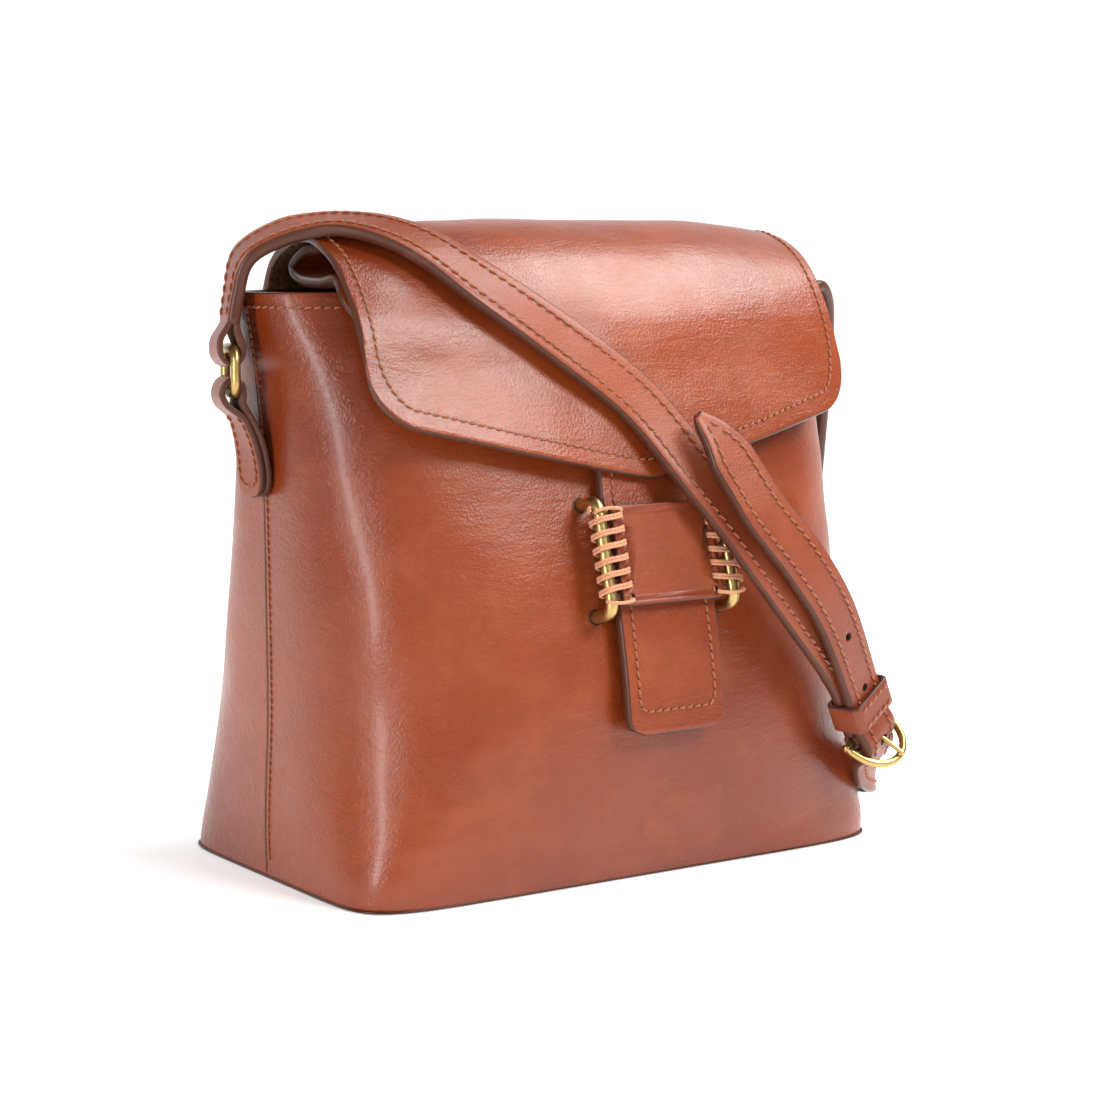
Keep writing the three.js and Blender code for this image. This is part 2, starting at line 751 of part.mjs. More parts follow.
// the free end lying on the short strap, from its tip, then the hidden stretch from the buckle
const longTip = [
  [0.101, -1.13, 0.784, 0, -0.93, 0.36],
  [0.157, -1.188, 0.747, 0, -0.94, 0.33],
  [0.214, -1.253, 0.689, 0, -0.96, 0.26],
  [0.269, -1.309, 0.631, 0, -0.97, 0.2],
  [0.414, -1.338, 0.543, 0, -0.99, 0.1],
  [0.555, -1.315, 0.445, 0.08, -0.99, 0.08],
];
const longRoute = [
  [0.889, -0.998, 0.154, 0.5, -0.66, -0.54],
  [0.965, -0.85, 0.123, 0.72, -0.6, -0.12],
  [1.022, -0.685, 0.091, 0.84, -0.3, 0.42],
  [1.09, -0.45, 0.052, 0.6, 0, 0.8],
  [1.194, -0.184, 0.014, 0.25, 0, 0.97],
  [1.271, 0.079, 0.006, 0.05, 0, 1],
  [1.335, 0.31, 0.024, -0.1, -0.4, 0.9],
  [1.346, 0.443, 0.083, 0.2, -0.95, 0.3],
  [1.329, 0.462, 0.166, 0.6, -0.8, 0],
  [1.31, 0.429, 0.3, 0.9, -0.4, 0],
  [1.299, 0.374, 0.461, 1, -0.1, 0],
  [1.291, 0.303, 0.645, 1, 0, 0],
  [1.27, 0.211, 0.806, 1, 0, 0],
];
// places by a ring: millimetres outwards, back and up from the ring's middle, then the direction
const shortStart = [
  [0.4, 0, 14, -0.95, 0.31, 0],
  [-1.6, 0.5, 27, -0.93, 0.28, 0.2],
  [-5, -1.5, 41, -0.8, 0.1, 0.58],
];
const longFinish = [
  [19, 9, 11, 0.95, 0, 0.3],
  [12.5, 4, 24, 0.65, 0, 0.75],
  [5.4, 1, 26.5, -0.3, 0, 0.95],
  [1.3, 0, 20.5, -0.95, 0, 0.3],
  [0.4, 0, 14, -1, 0, 0],
];

const riseShare = 0.1152;

function routePlace([x, y, z, ...facing]) {
  const height = Math.min(z, 1) * bodyHeight + (Math.max(z - 1, 0) * flapRise) / riseShare;
  const place = vec(x * bodyHalfWidth, y * bodyFrontDepth, height);
  const face = vec(...facing).normalize();
  return { place: place.addScaledVector(face, strapLift), face };
}

function ringPlace(side, [out, back, up, ...facing]) {
  return { place: fromRing(side, out, back, up), face: vec(...facing).normalize() };
}

function makeRoute(places) {
  return {
    line: new THREE.CatmullRomCurve3(places.map((p) => p.place)),
    faces: new THREE.CatmullRomCurve3(places.map((p) => p.face)),
  };
}

const shortStrap = makeRoute([...shortStart.map((row) => ringPlace(sides[0], row)), ...shortRoute.map(routePlace)]);

// where the route is at a distance along it, with its heading, its face and the way across it
function routeFrame(route, distance) {
  const share = THREE.MathUtils.clamp(distance / route.line.getLength(), 0, 1);
  return routeSpot(route, route.line.getUtoTmapping(share));
}

// the same at a spot from 0 to 1, counted by the places the route is made from
function routeSpot(route, spot) {
  const ahead = route.line.getTangent(spot);
  const face = route.faces.getPoint(spot);
  face.addScaledVector(ahead, -face.dot(ahead)).normalize();
  return { place: route.line.getPoint(spot), ahead, face, across: ahead.clone().cross(face) };
}

function strapGeometry(route, layer, halfAt, stepsEach) {
  const steps = stepsEach * (route.line.points.length - 1);
  let distance = 0;
  let previous = route.line.getPoint(0);
  const rows = range(steps + 1).map((j) => {
    const frame = routeSpot(route, j / steps);
    distance += frame.place.distanceTo(previous);
    previous = frame.place.clone();
    return { ...frame, half: halfAt(distance) };
  });
  const pointAt = (side) => (u, v) => {
    const { place, face, across, half } = rows[Math.round(v * steps)];
    const lift = layer * (strapLeather + strapLayerGap) / 2 + side * strapLeather;
    return place.clone().addScaledVector(across, (2 * u - 1) * half).addScaledVector(face, lift);
  };
  return between(1, steps, pointAt(0.5), pointAt(-0.5));
}

function trimmedAtRing(side, geometry) {
  return cut(geometry, swingPeg(side, swingRadius + 0.4));
}

// ---------- buckle and keeper ----------

const foldRadius = buckleBar + 2.1;
const strapEnd = routeFrame(shortStrap, shortStrap.line.getLength());
const buckleAcross = strapEnd.across.clone().negate();
const buckleAhead = strapEnd.ahead.clone().applyAxisAngle(buckleAcross, THREE.MathUtils.degToRad(-buckleTilt));
const buckleOut = buckleAhead.clone().cross(buckleAcross);
const barPlace = strapEnd.place.clone().addScaledVector(strapEnd.ahead, foldRadius + fitGap + 0.2);

function fromBuckle(ahead, across, out) {
  const point = barPlace.clone().addScaledVector(buckleAhead, ahead);
  return point.addScaledVector(buckleAcross, across).addScaledVector(buckleOut, out);
}

// the long strap lies on the short one through the keeper, then turns round the buckle's bar
const strapStack = strapThickness + 0.5;
const keeperBack = keeperHeight * 0.75;
const throughKeeper = [1.9, 1.1, 0.3].map((share) => {
  const { place, face } = routeFrame(shortStrap, shortStrap.line.getLength() - keeperBack * share);
  return { place: place.clone().addScaledVector(face, strapStack), face };
});
const roundBar = [[4, 6.9], [42, 7.4], [74, 9]].map(([degrees, radius]) => {
  const face = strapEnd.face.clone().applyAxisAngle(buckleAcross, THREE.MathUtils.degToRad(degrees));
  return { place: barPlace.clone().addScaledVector(face, radius), face };
});
const longStrap = makeRoute([
  ...longTip.map(routePlace),
  ...throughKeeper,
  ...roundBar,
  ...longRoute.map(routePlace),
  ...longFinish.map((row) => ringPlace(sides[1], row)),
]);

function buckleFrameGeometry() {
  const path = range(13).map((k) => {
    const turn = (k / 12 - 0.5) * Math.PI;
    return fromBuckle(buckleReach * Math.cos(turn) ** 0.8, buckleHalfWidth * Math.sin(turn), 0);
  });
  const end = buckleHalfWidth + buckleWire * 0.7;
  return joined(rod(path, buckleWire, 8), peg(fromBuckle(0, -end, 0), fromBuckle(0, end, 0), buckleBar, 10));
}

const prongRadius = 1.1;
const prongStart = fromBuckle(1.2, 0, 1.6);
const prongEnd = fromBuckle(buckleReach + 1, 0, buckleWire + prongRadius + fitGap);

function prongGeometry() {
  const eye = peg(fromBuckle(0, -1.6, 0), fromBuckle(0, 1.6, 0), 2.7, 16);
  const hole = peg(fromBuckle(0, -3, 0), fromBuckle(0, 3, 0), buckleBar + 0.3, 16);
  return cut(joined(eye, peg(prongStart, prongEnd, prongRadius, 8)), hole);
}

function prongSlot() {
  return peg(fromBuckle(0, 0, 1.2), fromBuckle(buckleReach + 4, 0, 4), prongRadius + 1.5, 12);
}

function foldGeometry() {
  const half = strapWidth / 2;
  const body = peg(fromBuckle(0, -half, 0), fromBuckle(0, half, 0), foldRadius, 16);
  const eye = peg(fromBuckle(0, -half - 1, 0), fromBuckle(0, half + 1, 0), buckleBar + 0.5, 10);
  const slot = new THREE.BoxGeometry(4.2, 2 * foldRadius + 2, 2 * foldRadius + 2);
  const turned = new THREE.Matrix4().makeBasis(buckleAcross, buckleOut, buckleAcross.clone().cross(buckleOut));
  slot.applyMatrix4(turned.setPosition(fromBuckle(foldRadius - 2.8 + 1, 0, 0)));
  return cut(body, eye, slot);
}

function keeperGeometry() {
  const { place, ahead, face, across } = routeFrame(shortStrap, shortStrap.line.getLength() - keeperBack);
  const middle = place.clone().addScaledVector(face, strapStack / 2);
  const stack = strapStack + strapThickness;
  const inside = new THREE.Vector2(strapWidth / 2 + 0.9, stack / 2 + 0.9);
  const outside = inside.clone().addScalar(keeperLeather);
  const band = roundedRectangle(outside.x, outside.y, 3);
  band.holes.push(roundedRectangle(inside.x, inside.y, 0.6));
  const geometry = new THREE.ExtrudeGeometry(band, { depth: keeperHeight, bevelEnabled: false, curveSegments: 4 });
  geometry.translate(0, 0, -keeperHeight / 2);
  return geometry.applyMatrix4(new THREE.Matrix4().makeBasis(across, ahead.clone().cross(across), ahead).setPosition(middle));
}

function roundedRectangle(halfX, halfY, radius) {
  const shape = new THREE.Shape();
  shape.absarc(halfX - radius, halfY - radius, radius, 0, Math.PI / 2);
  shape.absarc(radius - halfX, halfY - radius, radius, Math.PI / 2, Math.PI);
  shape.absarc(radius - halfX, radius - halfY, radius, Math.PI, 1.5 * Math.PI);
  shape.absarc(halfX - radius, radius - halfY, radius, 1.5 * Math.PI, 2 * Math.PI);
  return shape;
}

// the distance along the long strap at which the prong goes through it
function prongDistance() {
  let best = 0;
  let least = Infinity;
  for (let distance = 60; distance < 200; distance += 0.5) {
    const { place } = routeFrame(longStrap, distance);
    const gap = new THREE.Line3(prongStart, prongEnd).closestPointToPoint(place, true, vec(0, 0, 0));
    if (gap.distanceTo(place) < least) {
      least = gap.distanceTo(place);
      best = distance;
    }
  }
  return best;
}

function strapHoles() {
  const middle = prongDistance();
  const pegs = [prongSlot()];
  for (const k of range(strapHoleCount)) {
    const { place, face } = routeFrame(longStrap, middle + (k - 2) * strapHolePitch);
    const reach = face.clone().multiplyScalar(strapThickness);
    if (k !== 2) {
      pegs.push(peg(place.clone().sub(reach), place.clone().add(reach), strapHoleRadius, 10));
    }
  }
  return pegs;
}

// the long strap is pointed at its free end
function longHalfAt(distance) {
  const point = Math.min((distance + 3) / 17, 1);
  return (strapWidth / 2) * Math.sin((point * Math.PI) / 2) ** 0.9;
}

// ---------- assembly ----------

addPart('front_panel', 'leather', cut(bodyWall(true), ...legHoles()));
addPart('back_panel', 'leather', bodyWall(false));
addPart('base_panel', 'leather', basePlate(-0.6, baseLeather, 0));
addPart('base_board', 'board', basePlate(wallLeather + 1.8, baseBoardThickness, wallStart));
addPart('rim_facing_front', 'leather', rimFacing(true));
addPart('rim_facing_back', 'leather', rimFacing(false));
addPart('flap_lap', 'leather', flapGeometry(0, lapShare - lapGapShare, 3));
addPart('flap', 'leather', flapGeometry(lapShare + lapGapShare, null, 22));
addPart('closure_flap', 'leather', closureGeometry(1));
addPart('closure_lining', 'suede', closureGeometry(-1));
addPart('bridge', 'leather', bridgeGeometry());
addPart('bar_backing', 'suede', backingGeometry());

for (const side of sides) {
  addPart(`bar_${side.name}`, 'brass', barGeometry(side.sign));
  for (const [end, up] of legPlaces) {
    addPart(`bar_washer_${side.name}_${end}`, 'brass', washerGeometry(side.sign, up));
  }
  addPart(`lacing_${side.name}`, 'lace', laceGeometry(side.sign));
  addPart(`side_tab_${side.name}`, 'leather', sideTabGeometry(side));
  addPart(`ring_${side.name}`, 'brass', ringGeometry(side));
  addPart(`strap_loop_${side.name}`, 'leather', strapLoopGeometry(side));
}

for (const [name, layer, look] of [['strap', 1, 'leather'], ['strap_lining', -1, 'suede']]) {
  const short = strapGeometry(shortStrap, layer, () => strapWidth / 2, 3);
  addPart(`short_${name}`, look, trimmedAtRing(sides[0], short));
  const long = strapGeometry(longStrap, layer, longHalfAt, 4);
  addPart(`long_${name}`, look, trimmedAtRing(sides[1], cut(long, ...strapHoles())));
}
addPart('keeper', 'leather', keeperGeometry());
addPart('buckle_frame', 'brass', buckleFrameGeometry());
addPart('buckle_prong', 'brass', prongGeometry());
addPart('buckle_fold', 'leather', foldGeometry());

export default model;
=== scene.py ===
# Leather sling bag: the looks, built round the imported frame
import bpy
import math
from mathutils import Matrix, Quaternion, Vector, noise


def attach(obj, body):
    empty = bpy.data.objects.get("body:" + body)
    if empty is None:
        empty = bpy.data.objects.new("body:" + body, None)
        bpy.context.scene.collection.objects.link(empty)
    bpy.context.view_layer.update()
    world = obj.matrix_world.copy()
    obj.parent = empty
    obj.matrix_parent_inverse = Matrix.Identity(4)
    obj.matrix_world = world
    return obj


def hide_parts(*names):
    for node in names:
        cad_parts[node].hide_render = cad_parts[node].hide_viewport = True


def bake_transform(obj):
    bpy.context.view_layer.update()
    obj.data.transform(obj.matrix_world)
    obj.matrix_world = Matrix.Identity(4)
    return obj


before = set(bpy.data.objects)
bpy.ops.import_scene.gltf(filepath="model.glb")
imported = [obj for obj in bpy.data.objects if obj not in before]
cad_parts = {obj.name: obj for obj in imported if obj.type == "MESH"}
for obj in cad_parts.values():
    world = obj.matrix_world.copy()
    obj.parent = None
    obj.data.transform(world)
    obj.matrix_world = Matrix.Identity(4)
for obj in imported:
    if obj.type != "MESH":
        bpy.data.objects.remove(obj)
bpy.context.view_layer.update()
mm = 0.001
print("frame loaded")


# small helpers

def vec(x, y, z):
    return Vector((x, y, z))


def mix(a, b, share):
    return a + (b - a) * share


def spread(low, high, count):
    return [mix(low, high, k / (count - 1)) for k in range(count)]


def clamp(value, low=0.0, high=1.0):
    return max(low, min(high, value))


def bracket(table, value):  # the two neighbouring steps of a rising table round a value
    low, high = 0, len(table) - 1
    while high - low > 1:
        middle = (low + high) // 2
        if table[middle] < value:
            low = middle
        else:
            high = middle
    return low, high


def runningLengths(points):
    lengths = [0.0]
    for a, b in zip(points, points[1:]):
        lengths.append(lengths[-1] + (b - a).length)
    return lengths


def cornerCut(radius, past):  # how far a rounded corner draws an outline in
    return radius - math.sqrt(max(radius ** 2 - past ** 2, 0))


def smooth(pairs, place):  # a smooth line through [place, value] pairs
    last = len(pairs) - 1
    spot = clamp(place, pairs[0][0], pairs[last][0])
    i = 0
    while i < last - 1 and spot > pairs[i + 1][0]:
        i += 1

    def slope(k):
        a, b = pairs[max(k - 1, 0)], pairs[min(k + 1, last)]
        return (b[1] - a[1]) / (b[0] - a[0])
    span = pairs[i + 1][0] - pairs[i][0]
    t = (spot - pairs[i][0]) / span
    rise = pairs[i + 1][1] - pairs[i][1]
    start, end = slope(i) * span, slope(i + 1) * span
    return pairs[i][1] + start * t + (3 * rise - 2 * start - end) * t * t + (start + end - 2 * rise) * t ** 3


class Curve:  # a smooth curve through its points, spot 0 to 1 counted by the points
    def __init__(self, points):
        self.points = points
        self.table = None

    def at(self, spot):
        points = self.points
        p = clamp(spot) * (len(points) - 1)
        i = min(int(p), len(points) - 2)
        w = p - i
        p1, p2 = points[i], points[i + 1]
        p0 = points[i - 1] if i > 0 else 2 * p1 - p2
        p3 = points[i + 2] if i + 2 < len(points) else 2 * p2 - p1
        d0, d1, d2 = [max((b - a).length, 1e-4) ** 0.5 for a, b in ((p0, p1), (p1, p2), (p2, p3))]
        t1 = ((p1 - p0) / d0 - (p2 - p0) / (d0 + d1) + (p2 - p1) / d1) * d1
        t2 = ((p2 - p1) / d1 - (p3 - p1) / (d1 + d2) + (p3 - p2) / d2) * d1
        return (p1 + t1 * w + (3 * (p2 - p1) - 2 * t1 - t2) * w ** 2
                + (2 * (p1 - p2) + t1 + t2) * w ** 3)

    def ahead(self, spot):
        step = 2e-4
        return (self.at(spot + step) - self.at(spot - step)).normalized()

    def lengths(self, steps=600):
        total, out, before = 0.0, [0.0], self.at(0)
        for k in range(1, steps + 1):
            here = self.at(k / steps)
            total += (here - before).length
            out.append(total)
            before = here
        return out

    def spotAt(self, distance):
        if self.table is None:
            self.table = self.lengths()
        table = self.table
        low, high = bracket(table, distance)
        part = (distance - table[low]) / max(table[high] - table[low], 1e-9)
        return clamp((low + part) / (len(table) - 1))


def addMesh(name, points, faces, materials, faceMats=None):
    mesh = bpy.data.meshes.new(name)
    mesh.from_pydata([tuple(p * mm) for p in points], [], faces)
    for material in materials:
        mesh.materials.append(material)
    if faceMats:
        mesh.polygons.foreach_set("material_index", faceMats)
    mesh.polygons.foreach_set("use_smooth", [True] * len(mesh.polygons))
    mesh.update()
    piece = bpy.data.objects.new(name, mesh)
    bpy.context.collection.objects.link(piece)
    return piece


def ripple(p, size, height, seed=0.0):  # gentle unevenness of soft leather
    return height * noise.noise(Vector((p.x / size + seed, p.y / size, p.z / size)))


edgeRound = {"turns": (30, 62, 90, 118, 150), "reach": 0.5}


# a sheet of leather over a place(u, v), with a rounded painted edge all round
def leatherSheet(name, place, columns, rows, thickness, materials, outward):
    mid = [[place(i / columns, j / rows) for j in range(rows + 1)] for i in range(columns + 1)]
    normals = []
    for i in range(columns + 1):
        line = []
        for j in range(rows + 1):
            a = mid[min(i + 1, columns)][j] - mid[max(i - 1, 0)][j]
            b = mid[i][min(j + 1, rows)] - mid[i][max(j - 1, 0)]
            line.append(a.cross(b).normalized())
        normals.append(line)
    middle = normals[columns // 2][rows // 2]
    sign = 1 if middle.dot(outward) > 0 else -1
    half = thickness / 2
    points, faces, mats = [], [], []
    for side in (half, -half):
        for i in range(columns + 1):
            for j in range(rows + 1):
                points.append(mid[i][j] + normals[i][j] * (sign * side))
    at = lambda s, i, j: (s * (columns + 1) + i) * (rows + 1) + j
    for i in range(columns):
        for j in range(rows):
            a, b, c, d = (i, j), (i + 1, j), (i + 1, j + 1), (i, j + 1)
            if sign < 0:
                a, b, c, d = d, c, b, a
            faces.append([at(0, *q) for q in (a, b, c, d)])
            mats.append(0)
            faces.append([at(1, *q) for q in (d, c, b, a)])
            mats.append(1)
    loop = [(i, 0) for i in range(columns)] + [(columns, j) for j in range(rows)]
    loop += [(i, rows) for i in range(columns, 0, -1)] + [(0, j) for j in range(rows, 0, -1)]
    ring = []
    for i, j in loop:
        inner = (min(max(i, 1), columns - 1), min(max(j, 1), rows - 1))
        out = mid[i][j] - mid[inner[0]][inner[1]]
        n = normals[i][j] * sign
        out = (out - n * out.dot(n)).normalized()
        row = [at(0, i, j)]
        for angle in edgeRound["turns"]:
            turn = math.radians(angle)
            row.append(len(points))
            rise, reach = half * math.cos(turn), half * edgeRound["reach"] * math.sin(turn)
            points.append(mid[i][j] + n * rise + out * reach)
        row.append(at(1, i, j))
        ring.append(row)
    for k in range(len(ring)):
        a, b = ring[k], ring[(k + 1) % len(ring)]
        for m in range(len(a) - 1):
            quad = [a[m], a[m + 1], b[m + 1], b[m]]
            faces.append(quad if sign > 0 else quad[::-1])
            mats.append(2)
    return addMesh(name, points, faces, materials, mats)


def tube(points, radius, sides, closed=False, startSide=None):
    count = len(points)
    verts, faces = [], []
    side = startSide
    for i, middle in enumerate(points):
        before = points[(i - 1) % count] if closed else points[max(i - 1, 0)]
        after = points[(i + 1) % count] if closed else points[min(i + 1, count - 1)]
        ahead = (after - before).normalized()
        if side is None:
            side = vec(0.1, 0.2, 1).cross(ahead)
            if side.length < 0.2:
                side = vec(1, 0, 0).cross(ahead)
        side = (side - ahead * side.dot(ahead)).normalized()
        up = ahead.cross(side)
        r = radius(i / max(count - 1, 1)) if callable(radius) else radius
        for k in range(sides):
            turn = 2 * math.pi * k / sides
            verts.append(middle + (side * math.cos(turn) + up * math.sin(turn)) * r)
    steps = count if closed else count - 1
    for i in range(steps):
        for k in range(sides):
            a, b = i * sides + k, i * sides + (k + 1) % sides
            c, d = ((i + 1) % count) * sides + (k + 1) % sides, ((i + 1) % count) * sides + k
            faces.append([a, b, c, d])
    if not closed:
        faces.append(list(range(sides))[::-1])
        faces.append([(count - 1) * sides + k for k in range(sides)])
    return verts, faces


def ringFaces(a, b, count):  # the quads between two rings of points that start at a and b
    return [[a + k, a + (k + 1) % count, b + (k + 1) % count, b + k] for k in range(count)]


def joinShells(name, shells, material):
    points, faces = [], []
    for verts, quads in shells:
        base = len(points)
        points += verts
        faces += [[base + k for k in quad] for quad in quads]
    return addMesh(name, points, faces, [material])


stitchKind = {"pitch": 3.5, "share": 0.8, "radius": 0.46, "proud": 0.14, "crown": 0.18, "dip": 0.55,
              "flat": 0.7, "slant": 13.0, "wobble": 5, "hole": 0.42, "holeLong": 1.15, "holeLift": 0.07}


# little thread capsules along a line of [place, surface normal], ends dipping into the leather
def stitches(name, spots, material, pitch=stitchKind["pitch"], slant=stitchKind["slant"]):
    kind = stitchKind
    lengths = runningLengths([place for place, _ in spots])

    def spotAt(distance):
        low, high = bracket(lengths, distance)
        part = clamp((distance - lengths[low]) / max(lengths[high] - lengths[low], 1e-9))
        normal = spots[low][1].lerp(spots[high][1], part).normalized()
        return spots[low][0].lerp(spots[high][0], part), normal
    count = int(lengths[-1] / pitch)
    shells, holes = [], []
    for n in range(count):
        middle = (n + 0.5) * lengths[-1] / count
        half = kind["share"] * pitch / 2
        (a, na), (b, nb) = spotAt(middle - half), spotAt(middle + half)
        normal = (na + nb).normalized()
        ahead = (b - a).normalized()
        swing = math.radians(slant + kind["wobble"] * noise.noise(Vector((n * 1.7, len(spots), 0))))
        ahead = Quaternion(normal, swing) @ ahead
        centre = (a + b) / 2
        path = []
        for k in range(6):
            t = k / 5 * 2 - 1
            past = max(abs(t) - kind["flat"], 0) / 0.3
            lift = kind["proud"] + kind["crown"] * (1 - t * t) - kind["dip"] * past
            path.append(centre + ahead * (t * half) + normal * lift)
        shells.append(tube(path, lambda s: kind["radius"] * (0.75 + 0.25 * math.sin(math.pi * s)), 6))
        if n:  # the awl hole between this stitch and the one before, a flat dark disc that is painted shade in the hole
            spot, up = spotAt(middle - pitch / 2)
            side = up.cross(ahead).normalized()
            along = side.cross(up)
            ring = []
            for k in range(8):
                t = math.pi * k / 4
                reach = along * math.cos(t) * kind["holeLong"] + side * math.sin(t)
                ring.append(spot + up * kind["holeLift"] + reach * kind["hole"])
            holes.append((ring, [list(range(8))]))
    threadFaces = sum(len(quads) for _, quads in shells)
    piece = joinShells(name, shells + holes, material)
    piece.data.materials.append(holeAndSeamShade)
    for polygon in piece.data.polygons[threadFaces:]:
        polygon.material_index = 1
    return piece


# shader expressions

class Val:  # wraps a socket, so a sum of Vals adds its Math nodes
    def __init__(self, tree, socket):
        self.tree, self.socket = tree, socket

    def link(self, value, socket):
        if isinstance(value, Val):
            self.tree.links.new(value.socket, socket)
        else:
            socket.default_value = value

    def math(self, operation, a, b):
        node = self.tree.nodes.new("ShaderNodeMath")
        node.operation = operation
        self.link(a, node.inputs[0])
        self.link(b, node.inputs[1])
        return Val(self.tree, node.outputs[0])

    def __add__(self, other):
        return self.math("ADD", self, other)

    def __radd__(self, other):
        return self.math("ADD", other, self)

    def __sub__(self, other):
        return self.math("SUBTRACT", self, other)

    def __rsub__(self, other):
        return self.math("SUBTRACT", other, self)

    def __mul__(self, other):
        return self.math("MULTIPLY", self, other)

    def __rmul__(self, other):
        return self.math("MULTIPLY", other, self)


socketNames = {"colour": "Base Color", "roughness": "Roughness", "metallic": "Metallic", "normal": "Normal",
               "coat": "Coat Weight", "coatRoughness": "Coat Roughness", "sheen": "Sheen Weight",
               "sheenRoughness": "Sheen Roughness", "ior": "IOR", "specular": "Specular IOR Level"}


class Finish:  # one material, its nodes and its shader
    def __init__(self, name):
        self.material = bpy.data.materials.new(name)
        self.material.use_nodes = True
        self.tree = self.material.node_tree
        self.shader = self.tree.nodes["Principled BSDF"]
        self.place = self.node("ShaderNodeTexCoord", out="Object")

    def node(self, kind, settings=None, inputs=None, out=0):
        made = self.tree.nodes.new(kind)
        for key, value in (settings or {}).items():
            setattr(made, key, value)
        for key, value in (inputs or {}).items():
            Val(self.tree, None).link(value, made.inputs[key])
        return Val(self.tree, made.outputs[out])

    def noise(self, scale, detail=3.0, roughness=0.5, place=None, distortion=0.0):
        inputs = {"Vector": place or self.place, "Scale": scale, "Detail": detail, "Roughness": roughness,
                  "Distortion": distortion}
        return self.node("ShaderNodeTexNoise", None, inputs, "Fac")

    def cells(self, scale):
        return self.node("ShaderNodeTexVoronoi", {"feature": "F1"}, {"Vector": self.place, "Scale": scale},
                         "Distance")

    def stretched(self, scale, turn=(0, 0, 0)):
        return self.node("ShaderNodeMapping", None, {"Vector": self.place, "Scale": scale, "Rotation": turn})

    def between(self, value, low, high, toLow=0.0, toHigh=1.0):
        inputs = {"Value": value, "From Min": low, "From Max": high, "To Min": toLow, "To Max": toHigh}
        return self.node("ShaderNodeMapRange", {"clamp": True}, inputs)

    def blend(self, share, a, b):
        return self.node("ShaderNodeMix", {"data_type": "RGBA"}, {0: share, 6: a, 7: b}, 2)

    def bump(self, height, distance, strength=1.0, under=None):
        inputs = {"Height": height, "Distance": distance, "Strength": strength}
        if under:
            inputs["Normal"] = under
        return self.node("ShaderNodeBump", None, inputs)

    def set(self, **values):
        for key, value in values.items():
            Val(self.tree, None).link(value, self.shader.inputs[socketNames[key]])
        return self.material


def rgb(r, g, b):  # from screen values 0 to 255
    def linear(c):
        c /= 255
        return c / 12.92 if c <= 0.04045 else ((c + 0.055) / 1.055) ** 2.4
    return (linear(r), linear(g), linear(b), 1.0)


leatherLook = {"tan": rgb(146, 62, 22), "deep": rgb(114, 42, 11), "pale": rgb(164, 82, 38),
               "roughness": 0.27, "grain": 1050.0, "grainDepth": 0.00012}


def makeLeather(name, look=leatherLook, creaseShare=1.0):
    f = Finish(name)
    cloud = f.noise(7.0, 3.0, 0.55)
    mottle = f.noise(42.0, 4.0, 0.6, distortion=0.4)
    fine = f.noise(260.0, 3.0, 0.6)
    creasePlace = f.stretched((16.0, 60.0, 95.0), (0.25, 0.1, 0.15))
    crease = f.noise(1.6, 5.0, 0.62, creasePlace, 0.7)
    creaseShade = f.between(crease, 0.47, 0.53) * (1 - f.between(crease, 0.53, 0.6))
    pores = f.cells(look["grain"])
    colour = f.blend(f.between(cloud, 0.32, 0.68), look["tan"], look["deep"])
    colour = f.blend(f.between(mottle, 0.5, 0.78) * 0.4, colour, look["pale"])
    colour = f.blend(f.between(fine, 0.35, 0.75) * 0.22, colour, look["deep"])
    # darker along the crease lines: painted shade in the creases
    colour = f.blend(creaseShade * (0.16 * creaseShare), colour, look["deep"])
    rough = look["roughness"] + 0.16 * f.between(mottle, 0.3, 0.75) + 0.06 * fine
    soft = f.bump(mottle, 0.0009, 0.35)
    creased = f.bump(crease, 0.0011, 0.28 * creaseShare, soft)
    wrinkle = f.noise(1.0, 4.0, 0.6, f.stretched((150.0, 420.0, 330.0), (0.4, 0.2, 0.5)), 0.8)
    wrinkled = f.bump(wrinkle * f.between(cloud, 0.3, 0.6, 0.35, 1.0), 0.0005, 0.6, creased)
    grained = f.bump(pores, look["grainDepth"], 0.8, wrinkled)
    return f.set(colour=colour, roughness=rough, normal=grained, coat=0.2, coatRoughness=0.2,
                 sheen=0.03, sheenRoughness=0.3, ior=1.5, specular=0.42)


def makeSuede(name, dark, light):
    f = Finish(name)
    nap = f.noise(640.0, 5.0, 0.75)
    patch = f.noise(38.0, 4.0, 0.6, distortion=0.6)
    fibres = f.noise(2600.0, 2.0, 0.7)
    colour = f.blend(f.between(patch, 0.3, 0.7) * 0.3 + 0.7 * f.between(nap, 0.38, 0.64), dark, light)
    return f.set(colour=colour, roughness=0.95, normal=f.bump(nap * 0.7 + fibres * 0.3, 0.0011, 0.9),
                 sheen=0.12, sheenRoughness=0.5, specular=0.15)


def makeEdge(name, base, wear):
    f = Finish(name)
    streak = f.noise(120.0, 4.0, 0.6)
    rub = f.between(f.noise(60.0, 5.0, 0.65), 0.55, 0.72)
    colour = f.blend(rub * 0.6, f.blend(streak * 0.5, base, rgb(60, 36, 28)), wear)
    return f.set(colour=colour, roughness=0.34 + 0.2 * rub, normal=f.bump(streak, 0.0003, 0.35), coat=0.08,
                 coatRoughness=0.3, specular=0.3)


def makeThread(name, base, dark):
    f = Finish(name)
    twist = f.noise(1500.0, 3.0, 0.6, f.stretched((1, 1, 1), (0.5, 0.5, 0)))
    tone = f.noise(90.0, 2.0, 0.5)
    colour = f.blend(twist * 0.5 + tone * 0.3, base, dark)
    return f.set(colour=colour, roughness=0.62, normal=f.bump(twist, 0.0002, 0.6), sheen=0.2,
                 sheenRoughness=0.5)


